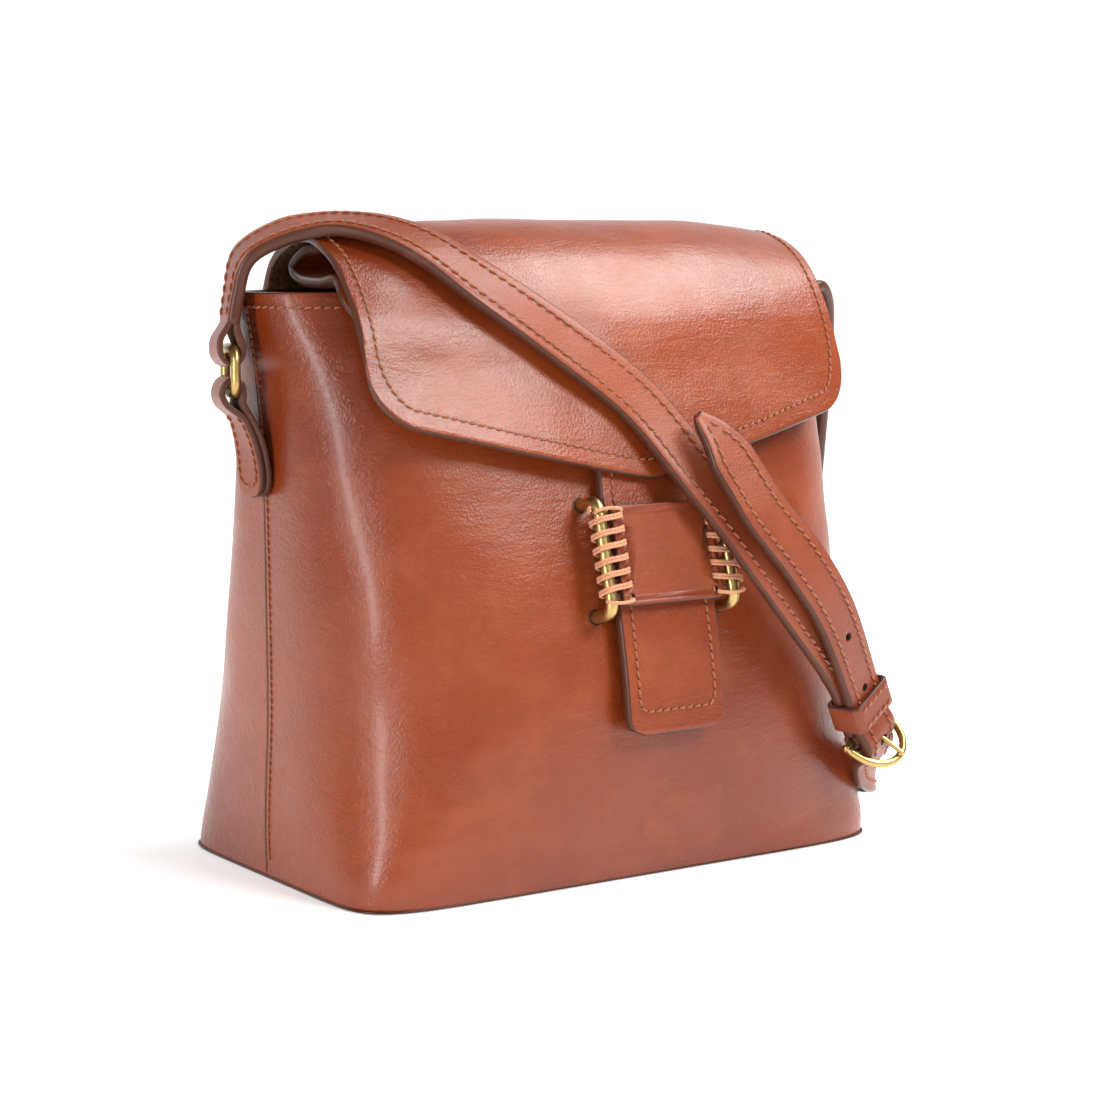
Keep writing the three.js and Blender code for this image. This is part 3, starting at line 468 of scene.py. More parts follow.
def makeBrass(name):
    f = Finish(name)
    smudge = f.noise(70.0, 4.0, 0.6, distortion=0.5)
    scratch = f.noise(14.0, 6.0, 0.7, f.stretched((18.0, 140.0, 60.0), (0.3, 0.5, 0.1)))
    tarnish = f.between(f.noise(160.0, 3.0, 0.6), 0.55, 0.8)
    colour = f.blend(tarnish * 0.45, rgb(196, 168, 108), rgb(132, 104, 62))
    rough = 0.26 + 0.14 * smudge + 0.1 * f.between(scratch, 0.55, 0.7)
    return f.set(colour=colour, metallic=1.0, roughness=rough, normal=f.bump(scratch, 0.00005, 0.3))


leather = makeLeather("tanLeather")
leatherCalm = makeLeather("tanLeatherCalm", dict(leatherLook, roughness=0.44), 0.5)
strapLeather = makeLeather("strapLeather", dict(leatherLook, deep=rgb(120, 50, 24), roughness=0.42), 0.6)
suede = makeSuede("brownSuede", rgb(84, 52, 26), rgb(176, 122, 72))
# the brown suede again, painted darker as painted shade; it lines the inside of the bag, the base board, the
# bar backing, the hole walls and the long strap's underside
suedeShaded = makeSuede("shadedSuede", rgb(44, 26, 16), rgb(78, 50, 30))
edgePaint = makeEdge("edgePaint", rgb(86, 46, 32), rgb(116, 68, 48))
thread = makeThread("stitchThread", rgb(170, 94, 52), rgb(120, 58, 28))
# a dark finish for painted shade: the discs in the awl holes, and the base seam line, which also paints the
# contact shadow
holeAndSeamShade = makeEdge("awlHoles", rgb(70, 28, 12), rgb(84, 38, 18))
lacingCord = makeThread("lacingCord", rgb(222, 160, 120), rgb(176, 108, 70))
brass = makeBrass("agedBrass")
print("materials made")


# camera, floor, light

camera = {"lens": 85.39, "sensor": 36, "place": (-566.16, -844.39, 240.14), "azimuth": -34.232, "down": 7.035,
          "near": 0.05, "far": 20}
cameraData = bpy.data.cameras.new("camera")
cameraData.lens = camera["lens"]
cameraData.sensor_width = camera["sensor"]
cameraData.clip_start = camera["near"]
cameraData.clip_end = camera["far"]
cameraPiece = bpy.data.objects.new("camera", cameraData)
bpy.context.collection.objects.link(cameraPiece)
cameraPiece.location = vec(*camera["place"]) * mm
cameraPiece.rotation_euler = (math.radians(90 - camera["down"]), 0, math.radians(camera["azimuth"]))
bpy.context.scene.camera = cameraPiece
bpy.context.scene.view_settings.view_transform = "Standard"

light = {"world": 0.14, "key": 22.0, "front": 18.0, "strip": 15.0, "fill": 2.5, "rim": 6.0, "backdrop": 0.66}
world = bpy.data.worlds.new("studio")
bpy.context.scene.world = world
world.use_nodes = True
world.node_tree.nodes["Background"].inputs[0].default_value = (1, 1, 1, 1)
world.node_tree.nodes["Background"].inputs[1].default_value = light["world"]


def softBox(name, place, aim, size, power, tint=(1, 1, 1)):
    data = bpy.data.lights.new(name, "AREA")
    data.shape = "RECTANGLE"
    data.size, data.size_y = size
    data.energy = power
    data.color = tint
    box = bpy.data.objects.new(name, data)
    box.location = place
    box.rotation_euler = (vec(*aim) - vec(*place)).to_track_quat("-Z", "Y").to_euler()
    bpy.context.collection.objects.link(box)


softBox("keyLight", (0.85, -0.35, 1.35), (0, 0, 0.14), (0.75, 0.75), light["key"], (1, 0.985, 0.96))
softBox("frontLight", (0.42, -1.15, 1.1), (0, 0, 0.2), (0.55, 0.55), light["front"], (1, 0.985, 0.96))
softBox("stripLight", (-1.5, -0.5, 0.36), (0, 0, 0.12), (0.16, 1.1), light["strip"])
softBox("fillLight", (-0.6, -1.7, 0.9), (0, 0, 0.1), (1.3, 1.0), light["fill"], (1, 0.99, 0.97))
softBox("rimLight", (-0.9, 1.2, 0.9), (0, 0, 0.15), (0.8, 0.8), light["rim"])

floorFinish = Finish("paleFloor")
floorTone = floorFinish.blend(floorFinish.noise(2.0), (0.9, 0.9, 0.9, 1), (0.93, 0.93, 0.93, 1))
floorFinish.set(colour=floorTone, roughness=0.8)
turnedPlace = floorFinish.stretched((1, 1, 1), (0, 0, -math.radians(camera["azimuth"])))
away = floorFinish.node("ShaderNodeSeparateXYZ", None, {"Vector": turnedPlace}, "Y")
glow = floorFinish.blend(floorFinish.between(away, -0.3, 0.2), (0.15, 0.15, 0.15, 1), (1, 1, 1, 1))
glow.link(glow, floorFinish.shader.inputs["Emission Color"])
floorFinish.shader.inputs["Emission Strength"].default_value = light["backdrop"]
# a floor that curves up into a wall far behind
sweepSize = {"half": 7000, "near": -3500, "far": 2200, "radius": 1800, "below": 0.2, "climb": 600}
sweepSteps = {"columns": 15, "flat": 8, "bend": 12, "rows": 25}
sweep = []
for across in spread(-sweepSize["half"], sweepSize["half"], sweepSteps["columns"]):
    for k in range(sweepSteps["rows"]):
        y = mix(sweepSize["near"], sweepSize["far"], min(k / sweepSteps["flat"], 1))
        turn = math.pi / 2 * clamp((k - sweepSteps["flat"]) / sweepSteps["bend"])
        climb = max(k - sweepSteps["flat"] - sweepSteps["bend"], 0) * sweepSize["climb"]
        height = sweepSize["radius"] * (1 - math.cos(turn)) - sweepSize["below"] + climb
        sweep.append((across, y + sweepSize["radius"] * math.sin(turn), height))
turned = Matrix.Rotation(math.radians(camera["azimuth"]), 3, "Z")
sweepFaces = []
for i in range(sweepSteps["columns"] - 1):
    for j in range(sweepSteps["rows"] - 1):
        corner, rows = i * sweepSteps["rows"] + j, sweepSteps["rows"]
        sweepFaces.append([corner, corner + rows, corner + rows + 1, corner + 1])
floor = addMesh("floor", [turned @ vec(*p) for p in sweep], sweepFaces, [floorFinish.material])
print("camera, floor and light set")

# body

bag = {"halfWidth": 119, "frontDepth": 76, "backDepth": 74, "height": 217, "wall": 2.6, "base": 2.4,
       "gap": 0.35, "facing": 22, "facingLeather": 1.4}
# each row: share of the height, extra half width, front reach and squareness, back reach and squareness
bagRows = [[0, 0, 0, 9, 0, 9], [0.1, 0.5, 8, 5, 0, 6], [0.276, -1, 11, 3.4, -4, 4.6],
           [0.507, -1, 4, 3.2, -14, 4], [0.69, -0.5, -7, 3.3, -24, 4], [0.853, 2, -21, 3.3, -35, 3.8],
           [1, 6.5, -36, 3.1, -49, 3]]
bagTables = {c: [(row[0] * bag["height"], row[c]) for row in bagRows] for c in range(1, 6)}


def bagValue(column, height):
    return smooth(bagTables[column], height)


def bagSection(height, isFront):  # half width, reach and squareness of a wall at a height
    width = bag["halfWidth"] + bagValue(1, height)
    if isFront:
        return width, bag["frontDepth"] + bagValue(2, height), bagValue(3, height)
    return width, bag["backDepth"] + bagValue(4, height), bagValue(5, height)


def bagPoint(turnDegrees, height, isFront, inset=0.0):
    turn = math.radians(turnDegrees)
    width, reach, square = bagSection(height, isFront)
    width -= inset
    across, out = math.cos(turn), max(math.sin(turn), 0)
    size = (abs(across) ** square + out ** square) ** (-1 / square)
    return vec(width * across * size, (-1 if isFront else 1) * (reach - inset) * out * size, height)


def skinDepth(x, height, isFront):
    width, reach, square = bagSection(height, isFront)
    share = min(abs(x) / width, 0.999)
    return reach * (1 - share ** square) ** (1 / square)


fold = {"corner": 104, "cornerSize": 13, "cornerDepth": 1.1, "base": 14, "baseSize": 6, "baseDepth": 1.3}


def settled(p, isFront):  # the soft wall's own unevenness, none at the base, the rim or the seams
    calm = clamp((p.z - 3) / 20) * clamp((bag["height"] - p.z) / 14) * clamp(abs(p.y) / 18)
    wave = ripple(p, 55, 1.5, 3.1) + ripple(p, 23, 0.45, 8.0)
    slack = 0.0
    if isFront:  # folds at the soft front corners and just over the base
        corner = fold["cornerDepth"] * math.exp(-((abs(p.x) - fold["corner"]) / fold["cornerSize"]) ** 2)
        slack = corner * math.sin(p.z / 13.0 + 1.2 * noise.noise(Vector((p.z / 30, p.x / 40, 0))))
        low = fold["base"] + 3 * noise.noise(Vector((p.x / 45, 1, 0)))
        slack -= fold["baseDepth"] * math.exp(-((p.z - low) / fold["baseSize"]) ** 2)
    push = (wave + slack) * calm
    return vec(p.x, p.y + (-push if p.y < 0 else push), p.z)


def wallPlace(isFront, inset, low, high):
    start, end = (179.8, 0.2) if isFront else (0.2, 179.8)

    def place(u, v):
        return settled(bagPoint(mix(start, end, u), mix(low, high, v), isFront, inset), isFront)
    return place


# each wall's inner face takes the shaded suede, painted shade inside the bag
def wallPiece(name, isFront):
    place = wallPlace(isFront, bag["wall"] / 2, 0.7, bag["height"] - 0.2)
    return leatherSheet(name, place, 150, 100, bag["wall"], [leather, suedeShaded, edgePaint],
                        vec(0, -1 if isFront else 1, 0))


def bodyGroup(pieces, body):
    for piece in pieces:
        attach(piece, body)


front = wallPiece("frontLeather", True)
back = wallPiece("backLeather", False)
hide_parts("front_panel")
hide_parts("back_panel")
bodyGroup([front, back], "body")


def alongWall(isFront, turns, heights, lift=0.0):  # [place, normal] spots on the outside of a wall
    spots = []
    for turn, height in zip(turns, heights):
        here = settled(bagPoint(turn, height, isFront), isFront)
        side = settled(bagPoint(turn + 0.4, height, isFront), isFront) - here
        up = settled(bagPoint(turn, height + 0.5, isFront), isFront) - here
        normal = side.cross(up).normalized()
        if normal.dot(vec(here.x * 0.02, here.y, 0)) < 0:
            normal = -normal
        spots.append((here + normal * lift, normal))
    return spots


sewing = {"fromRim": 5.0, "rimSpots": 240, "seamTurn": 1.9, "seamSpots": 140, "seamPitch": 2.9,
          "seamSlant": 5}
seams = []
for isFront, word in ((True, "front"), (False, "back")):
    rimHeights = [bag["height"] - sewing["fromRim"]] * sewing["rimSpots"]
    rimSpots = alongWall(isFront, spread(1, 179, sewing["rimSpots"]), rimHeights)
    seams.append(stitches("rimStitch_" + word, rimSpots, thread))
    if isFront:  # the side seams are sewn on the front wall only
        for turn, side in ((sewing["seamTurn"], "right"), (180 - sewing["seamTurn"], "left")):
            turns = [turn] * sewing["seamSpots"]
            seamSpots = alongWall(isFront, turns, spread(7, 212, sewing["seamSpots"]))
            seams.append(stitches("seamStitch_" + word + "_" + side, seamSpots, thread, sewing["seamPitch"],
                                  sewing["seamSlant"]))
bodyGroup(seams, "body")

# thin painted line where the two walls meet
for side, word in ((-1, "left"), (1, "right")):
    path = [vec(side * (bag["halfWidth"] + bagValue(1, h) - 0.5), 0, h) for h in spread(3.2, 216, 90)]
    seamLine = joinShells("sideSeam_" + word, [tube(path, 0.75, 8)], edgePaint)
    bodyGroup([seamLine], "body")


def baseOutline(inset, step=3):
    turns = list(range(0, 180, step))
    points = [bagPoint(t, 0, False, inset) for t in turns]
    return points + [bagPoint(180 - t, 0, True, inset) for t in turns]


plateEdge = [(0.0, 1.4), (0.12, 0.35), (0.5, 0), (0.88, 0.35), (1.0, 1.4)]  # share of the thickness, inward


def platePiece(name, inset, low, high, materials):
    points, faces, mats, rings = [], [], [], []
    for share, inward in plateEdge:
        rings.append(len(points))
        points += [vec(p.x, p.y, mix(low, high, share)) for p in baseOutline(inset + inward)]
    count = len(points) // len(plateEdge)
    for a, b in zip(rings, rings[1:]):
        faces += ringFaces(a, b, count)
        mats += [1] * count
    faces.append([rings[0] + k for k in range(count)][::-1])
    faces.append([rings[-1] + k for k in range(count)])
    mats += [0, 0]
    return addMesh(name, points, faces, materials, mats)


base = platePiece("baseLeather", bag["wall"] + 0.1, 0, bag["base"], [leatherCalm, edgePaint])
board = {"inset": 1.8, "low": 0.35, "high": 2.35}
# the base board inside the bag takes the shaded suede, painted shade
boardPiece = platePiece("baseBoard", bag["wall"] + board["inset"], bag["base"] + board["low"],
                        bag["base"] + board["high"], [suedeShaded, suedeShaded])
baseSeamShadeLine = [vec(p.x, p.y, 0.55) for p in baseOutline(-0.1, 2)]  # the dark seam over the base, dark also as a painted contact shadow along the floor
baseSeamShade = joinShells("baseSeamAndShadow", [tube(baseSeamShadeLine, 0.5, 8, True)], holeAndSeamShade)
bodyGroup([baseSeamShade], "body")
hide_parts("base_panel")
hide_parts("base_board")
bodyGroup([base], "body")
bodyGroup([boardPiece], "body")

for isFront, word in ((True, "front"), (False, "back")):
    inset = bag["wall"] + 2 * bag["gap"] + bag["facingLeather"] / 2
    place = wallPlace(isFront, inset, bag["height"] - bag["facing"], bag["height"] - 0.6)
    facing = leatherSheet("rimFacing_" + word, place, 120, 10, bag["facingLeather"],
                          [suede, suede, edgePaint], vec(0, 1 if isFront else -1, 0))
    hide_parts("rim_facing_" + word)
    bodyGroup([facing], "body")
print("body made")

# flap

flapSize = {"leather": 3, "half": 107, "lap": 28, "corner": 15, "drop": 67, "slope": 0.235, "rise": 25}
closureSize = {"leather": 1.9, "half": 103, "tab": 42, "end": 58, "corner": 6, "sewnIn": 4.0}
gap = bag["gap"]
flapBackHalf = flapSize["half"] - 3
lapGap = 3 * gap
mouthBack = skinDepth(0, bag["height"], False) + lapGap + flapSize["leather"] / 2
closureStack = 2 * closureSize["leather"] + gap
flapProud = closureStack + flapSize["leather"] / 2 + 4.3
mouthFront = skinDepth(0, bag["height"], True) + flapProud
mouthMiddle, mouthHalf = (mouthBack - mouthFront) / 2, (mouthBack + mouthFront) / 2
# over the mouth: share from back to front, share of the rise, and how far the sides lie forward and low
flapCrestRows = [[0.71, 0.52, -1, -3], [0.35, 0.88, -1, -4.5], [-0.04, 1, 0, -5.5], [-0.4, 0.86, 3, -5],
                 [-0.78, 0.46, 6, -2]]
# down the front: distance below the rim, how far the sides lie back, and how far it stands off
flapFrontRows = [[9, 8, 2.6], [30, 8, 0.5], [50, 6.5, 0], [flapSize["drop"], 5.5, 0],
                 [flapSize["drop"] + 12, 5, 0]]


def crestPoint(row, across):
    y = mouthMiddle + mouthHalf * row[0] + row[2] * across ** 2
    return vec(0, y, bag["height"] + flapSize["rise"] * row[1] + row[3] * across ** 4)


def flapCurve(across):
    points = []
    for below in (flapSize["lap"], flapSize["lap"] / 2, 0):
        out = skinDepth(across * flapBackHalf, bag["height"] - below, False)
        points.append(vec(0, out + lapGap + flapSize["leather"] / 2, bag["height"] - below))
    points += [crestPoint(row, across) for row in flapCrestRows]
    for below, lean, extra in flapFrontRows:
        height = bag["height"] - below
        points.append(vec(0, lean * across ** 2 - skinDepth(0, height, True) - flapProud - extra, height))
    return Curve(points)


def flapEdgeHeight(x):
    slope = flapSize["slope"] * (math.sqrt(x * x + 64) - 8)
    past = max(abs(x) - (flapSize["half"] - flapSize["corner"]), 0)
    return bag["height"] - flapSize["drop"] + slope + cornerCut(flapSize["corner"], past)


def spotAtHeight(curve, height):
    low, high = 0.5, 1.0
    for _ in range(22):
        middle = (low + high) / 2
        if curve.at(middle).z > height:
            low = middle
        else:
            high = middle
    return low


def flapOut(p):
    return p - vec(p.x, mouthMiddle, bag["height"] - 40)


flapTable = {}


def flapPlace(across, share):  # across -1 to 1, share 0 at the lap's lower edge and 1 at the flap's
    key = round(across, 5)
    if key not in flapTable:
        curve = flapCurve(across)
        flapTable[key] = (curve, spotAtHeight(curve, flapEdgeHeight(across * flapSize["half"])))
    curve, end = flapTable[key]
    spot = share * end
    p = curve.at(spot)
    p.x = across * mix(flapBackHalf, flapSize["half"], min(spot * 2, 1))
    calm = clamp(share * 6)
    lift = (ripple(p, 40, 0.9, 5.0) + ripple(p, 16, 0.3, 1.0)) * calm
    return p + flapOut(p).normalized() * max(lift, -0.25)


def spreadAcross(u):
    return math.sin((u - 0.5) * math.pi * 0.94) / math.sin(0.47 * math.pi)


flapPiece = leatherSheet("flapLeather", lambda u, v: flapPlace(spreadAcross(u), v), 90, 120,
                         flapSize["leather"], [leather, suede, edgePaint], vec(0, 0, 1))
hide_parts("flap", "flap_lap")
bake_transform(flapPiece)


def spotsOn(place, path, lift, toward):  # [place, normal] spots along a list of (a, b) on a sheet
    spots = []
    step = 1e-3
    for a, b in path:
        here = place(a, b)
        sa = step if a < 0.9 else -step
        sb = step if b < 0.9 else -step
        normal = ((place(a + sa, b) - here) * sa).cross((place(a, b + sb) - here) * sb).normalized()
        if normal.dot(toward(here)) < 0:
            normal = -normal
        spots.append((here + normal * lift, normal))
    return spots


inside = 1 - 4.6 / flapSize["half"]
edgeInset, turnInset, turnFrom = 0.032, 0.1, 0.9
cornerSpots = []
for t in spread(0, math.pi / 2, 14):
    along = turnFrom + (turnInset - edgeInset) * math.sin(t)
    cornerSpots.append((turnInset * (1 - math.cos(t)), along))
flapLine = [(-inside, v) for v in spread(0.235, turnFrom, 90)]
flapLine += [(-inside + a, v) for a, v in cornerSpots[1:]]
flapLine += [(a, 1 - edgeInset) for a in spread(-inside + turnInset, inside - turnInset, 120)[1:-1]]
flapLine += [(inside - a, v) for a, v in cornerSpots[::-1]]
flapLine += [(inside, v) for v in spread(turnFrom, 0.235, 90)[1:]]
flapSewing = stitches("flapStitch", spotsOn(flapPlace, flapLine, flapSize["leather"] / 2, flapOut), thread)
bodyGroup([flapSewing], "flap")
lapLine = [(-inside, v) for v in spread(0.15, 0.02, 20)]
lapLine += [(a, 0.02) for a in spread(-inside, inside, 140)[1:-1]]
lapLine += [(inside, v) for v in spread(0.02, 0.15, 20)]
lapSpots = spotsOn(flapPlace, lapLine, flapSize["leather"] / 2, lambda p: vec(0, 1, 0.2))
lapSewing = stitches("lapStitch", lapSpots, thread)
bodyGroup([lapSewing], "body")
print("flap made")

# closure flap and tab

tabHalf = closureSize["tab"] / 2
closureProud = closureStack / 2 + 2.1
rimPass = closureStack / 2 + 1.2
half = closureSize["half"]
# as for the flap, each row with its half width at the end
closureCrestRows = [[-0.12, 0.81, 2, -4.2, half - 2], [0.17, 0.75, 0, -4.2, half],
                    [0.36, 0.5, 0, -4, half + 1], [0.17, 0.23, 2, -1, half + 1]]
closureFrontRows = [[5, 0.9, half + 1], [19, 0.2, half - 11], [33, 0, half - 37], [47, 0, half - 64],
                    [61, 0.2, tabHalf], [74, 0.5, tabHalf], [90, 0.9, tabHalf], [108, 1.3, tabHalf],
                    [137, 2.4, tabHalf], [bag["height"] - closureSize["end"], 3.3, tabHalf]]
closureHalves = [row[4] for row in closureCrestRows] + [half + 1, half + 1]
closureHalves += [row[2] for row in closureFrontRows]
closurePairs = [(k / (len(closureHalves) - 1), value) for k, value in enumerate(closureHalves)]
closureTable = {}


def closureCorner(height):
    return cornerCut(closureSize["corner"], max(closureSize["corner"] + closureSize["end"] - height, 0))


def closurePlace(across, share):
    key = round(across, 5)
    if key not in closureTable:
        points = [crestPoint(row, across) for row in closureCrestRows]
        for out, lift in ((-14, 0.2), (-1.6, 0.9)):
            mouth = skinDepth(across * half, bag["height"], True)
            points.append(vec(0, -mouth - out, bag["height"] + rimPass + lift))
        for below, extra, wide in closureFrontRows:
            out = skinDepth(across * wide, bag["height"] - below, True) + closureProud + extra
            points.append(vec(0, -out, bag["height"] - below))
        closureTable[key] = Curve(points)
    p = closureTable[key].at(share)
    p.x = across * (smooth(closurePairs, share) - closureCorner(p.z))
    return p


closurePiece = leatherSheet("closureLeather", lambda u, v: closurePlace(spreadAcross(u), v), 60, 190,
                            closureStack, [leather, suede, edgePaint], vec(0, -1, 0.2))
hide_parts("closure_flap", "closure_lining")
bodyGroup([closurePiece], "flap")


def closureEdge(share):  # where the stitches run, as a share of the half width
    wide = smooth(closurePairs, share) - closureCorner(closurePlace(0.5, share).z)
    return 1 - closureSize["sewnIn"] / max(wide, 5)


closureLine = [(-closureEdge(s), s) for s in spread(0.3, 0.965, 200)]
endWidth = closureEdge(0.965)
closureLine += [(a, 0.975) for a in spread(-endWidth * 0.9, endWidth * 0.9, 12)]
closureLine += [(closureEdge(s), s) for s in spread(0.965, 0.3, 200)]
closureSpots = spotsOn(closurePlace, closureLine, closureStack / 2, lambda p: vec(0, -1, 0.3))
closureSewing = stitches("closureStitch", closureSpots, thread)
bodyGroup([closureSewing], "flap")
print("closure made")

# bridge, bars and lacing

bridgeSize = {"width": 46, "height": 37, "leather": 2.4, "corner": 2.2, "bow": -0.5, "middle": 123,
              "proud": 11.2, "bar": 2.3, "barGap": 4.6, "bend": 4.5, "lace": 0.8, "turns": 7,
              "slack": 0.75, "laceHole": 1.3}
leanSpan = 18
leanLow = skinDepth(0, bridgeSize["middle"] - leanSpan, True)
lean = math.atan((leanLow - skinDepth(0, bridgeSize["middle"] + leanSpan, True)) / (2 * leanSpan))
bridgeMiddle = vec(0, -skinDepth(0, bridgeSize["middle"], True) - bridgeSize["proud"], bridgeSize["middle"])
barX = bridgeSize["width"] / 2 + bridgeSize["barGap"]
legHeight = bridgeSize["height"] / 2 + 2
laceHoleX = bridgeSize["width"] / 2 - 4
lacePitch = (bridgeSize["height"] - 6.6) / (bridgeSize["turns"] - 1)
tilt = Matrix.Rotation(-lean, 3, "X")


def fromBridge(x, up, out):
    return tilt @ vec(x, -out, up) + bridgeMiddle


def outlineLoop(halfX, halfY, radius, steps=7):
    loop = []
    for signX, signY, start in ((1, 1, 0), (-1, 1, 90), (-1, -1, 180), (1, -1, 270)):
        for k in range(steps):
            turn = math.radians(start + 90 * k / (steps - 1))
            x = signX * (halfX - radius) + radius * math.cos(turn)
            loop.append((x, signY * (halfY - radius) + radius * math.sin(turn)))
    return loop


bridgeEdge = [(-0.5, 0.55), (-0.36, 0.12), (0, 0), (0.36, 0.12), (0.5, 0.55)]  # share of thickness, inward


def plateShell(halfX, halfY, thickness, radius, place, bow):  # a thick leather plate with rounded edges
    points, faces, mats, rings = [], [], [], []

    def addRing(inward, share, shrink=1):
        rings.append(len(points))
        for x, y in outlineLoop(halfX - inward, halfY - inward, radius):
            depth = share * thickness + bow * (x * shrink / halfX) ** 2
            points.append(place(x * shrink, y * shrink, depth))

    for share, inward in bridgeEdge:
        addRing(inward, share)
    count = len(points) // len(bridgeEdge)
    for a, b in zip(rings, rings[1:]):
        faces += ringFaces(a, b, count)
        mats += [1] * count
    # the flat sides, each a fan of rings
    for before, share, flip in ((rings[0], -0.5, True), (rings[-1], 0.5, False)):
        for shrink in (0.8, 0.55, 0.3, 0.1):
            addRing(bridgeEdge[0][1], share, shrink)
            for quad in ringFaces(before, rings[-1], count):
                faces.append(quad[::-1] if flip else quad)
                mats.append(0)
            before = rings[-1]
        face = [before + k for k in range(count)]
        faces.append(face[::-1] if flip else face)
        mats.append(0)
    return points, faces, mats


points, faces, mats = plateShell(bridgeSize["width"] / 2, bridgeSize["height"] / 2, bridgeSize["leather"],
                                 bridgeSize["corner"], fromBridge, bridgeSize["bow"])
bridge = addMesh("bridgeLeather", points, faces, [leatherCalm, edgePaint], mats)
bpy.context.view_layer.update()


def cutHoles(piece, pegs, holeMaterial):  # punches round holes and keeps the result
    cutter = joinShells(piece.name + "Cutter", pegs, holeMaterial)
    for polygon in cutter.data.polygons:
        polygon.use_smooth = True
    piece.data.materials.append(holeMaterial)
    made = piece.modifiers.new("holes", "BOOLEAN")
    made.operation = "DIFFERENCE"
    made.object = cutter
    made.solver = "EXACT"
    made.material_mode = "TRANSFER"
    depsgraph = bpy.context.evaluated_depsgraph_get()
    result = bpy.data.meshes.new_from_object(piece.evaluated_get(depsgraph))
    piece.modifiers.clear()
    piece.data = result
    bpy.data.objects.remove(cutter, do_unlink=True)


pegs = []
for side in (-1, 1):
    for k in range(bridgeSize["turns"]):
        up = (k - (bridgeSize["turns"] - 1) / 2) * lacePitch
        ends = [fromBridge(side * laceHoleX, up, out) for out in (-3, 3)]
        pegs.append(tube(ends, bridgeSize["laceHole"], 18))
# the hole walls take the shaded suede, painted shade inside the holes
cutHoles(bridge, pegs, suedeShaded)
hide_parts("bridge")
bodyGroup([bridge], "body")


def skinBehindBar(up):
    near, far = 0.0, 60.0
    for _ in range(22):
        middle = (near + far) / 2
        p = fromBridge(barX, up, -middle)
        if -p.y > skinDepth(barX, p.z, True):
            near = middle
        else:
            far = middle
    return near


def barPath(side):
    bend = bridgeSize["bend"]

    def reach(up):  # through the wall and its backing to the washer inside
        return skinBehindBar(up) + bag["wall"] + 1.6 + 2 * gap + 1 + 1 + 1.6
    ends = [(legHeight, -mix(reach(legHeight), bend, s)) for s in spread(0, 1, 8)[:-1]]
    turns = [k / 8 * math.pi / 2 for k in range(9)]
    ends += [(legHeight - bend + bend * math.cos(t), -bend + bend * math.sin(t)) for t in turns]
    ends += [(mix(legHeight - bend, bend - legHeight, s), 0) for s in spread(0, 1, 12)[1:-1]]
    ends += [(bend - legHeight - bend * math.sin(t), -bend + bend * math.cos(t)) for t in turns]
    ends += [(-legHeight, -mix(bend, reach(-legHeight), s)) for s in spread(0, 1, 8)[1:]]
    return [fromBridge(side * barX, up, out) for up, out in ends]


def lacePath(side, shift, stepsPerTurn=22):
    turns = bridgeSize["turns"]
    outer = barX + bridgeSize["bar"] + bridgeSize["lace"] + bridgeSize["slack"] - 0.25
    middleX, halfX = (laceHoleX + outer) / 2, (outer - laceHoleX) / 2
    halfOut = bridgeSize["bar"] + bridgeSize["lace"] + 0.3
    path = []
    for k in range(int((turns - 1) * stepsPerTurn + stepsPerTurn / 2 + 1)):
        turn = 2 * math.pi * k / stepsPerTurn + math.pi
        up = (k / stepsPerTurn - (turns - 1) / 2) * lacePitch + shift
        x, out = [math.copysign(abs(part) ** 0.7, part) for part in (math.cos(turn), math.sin(turn))]
        path.append(fromBridge(side * (middleX + halfX * x), up, halfOut * out))
    return path


def cordShells(path, radius, strands=3, lay=2.6):  # strands wound round one another
    shells = []
    lengths = runningLengths(path)
    for strand in range(strands):
        points, side = [], None
        for k, middle in enumerate(path):
            ahead = (path[min(k + 1, len(path) - 1)] - path[max(k - 1, 0)]).normalized()
            side = vec(0.3, 0.2, 1) if side is None else side
            side = (side - ahead * side.dot(ahead)).normalized()
            up = ahead.cross(side)
            turn = 2 * math.pi * (lengths[k] / lay + strand / strands)
            points.append(middle + (side * math.cos(turn) + up * math.sin(turn)) * radius * 0.45)
        shells.append(tube(points, radius * 0.6, 7))
    return shells


def denser(path):  # twice as many steps along the same smooth line
    curve = Curve(path)
    count = 2 * (len(path) - 1)
    return [curve.at(k / count) for k in range(count + 1)]


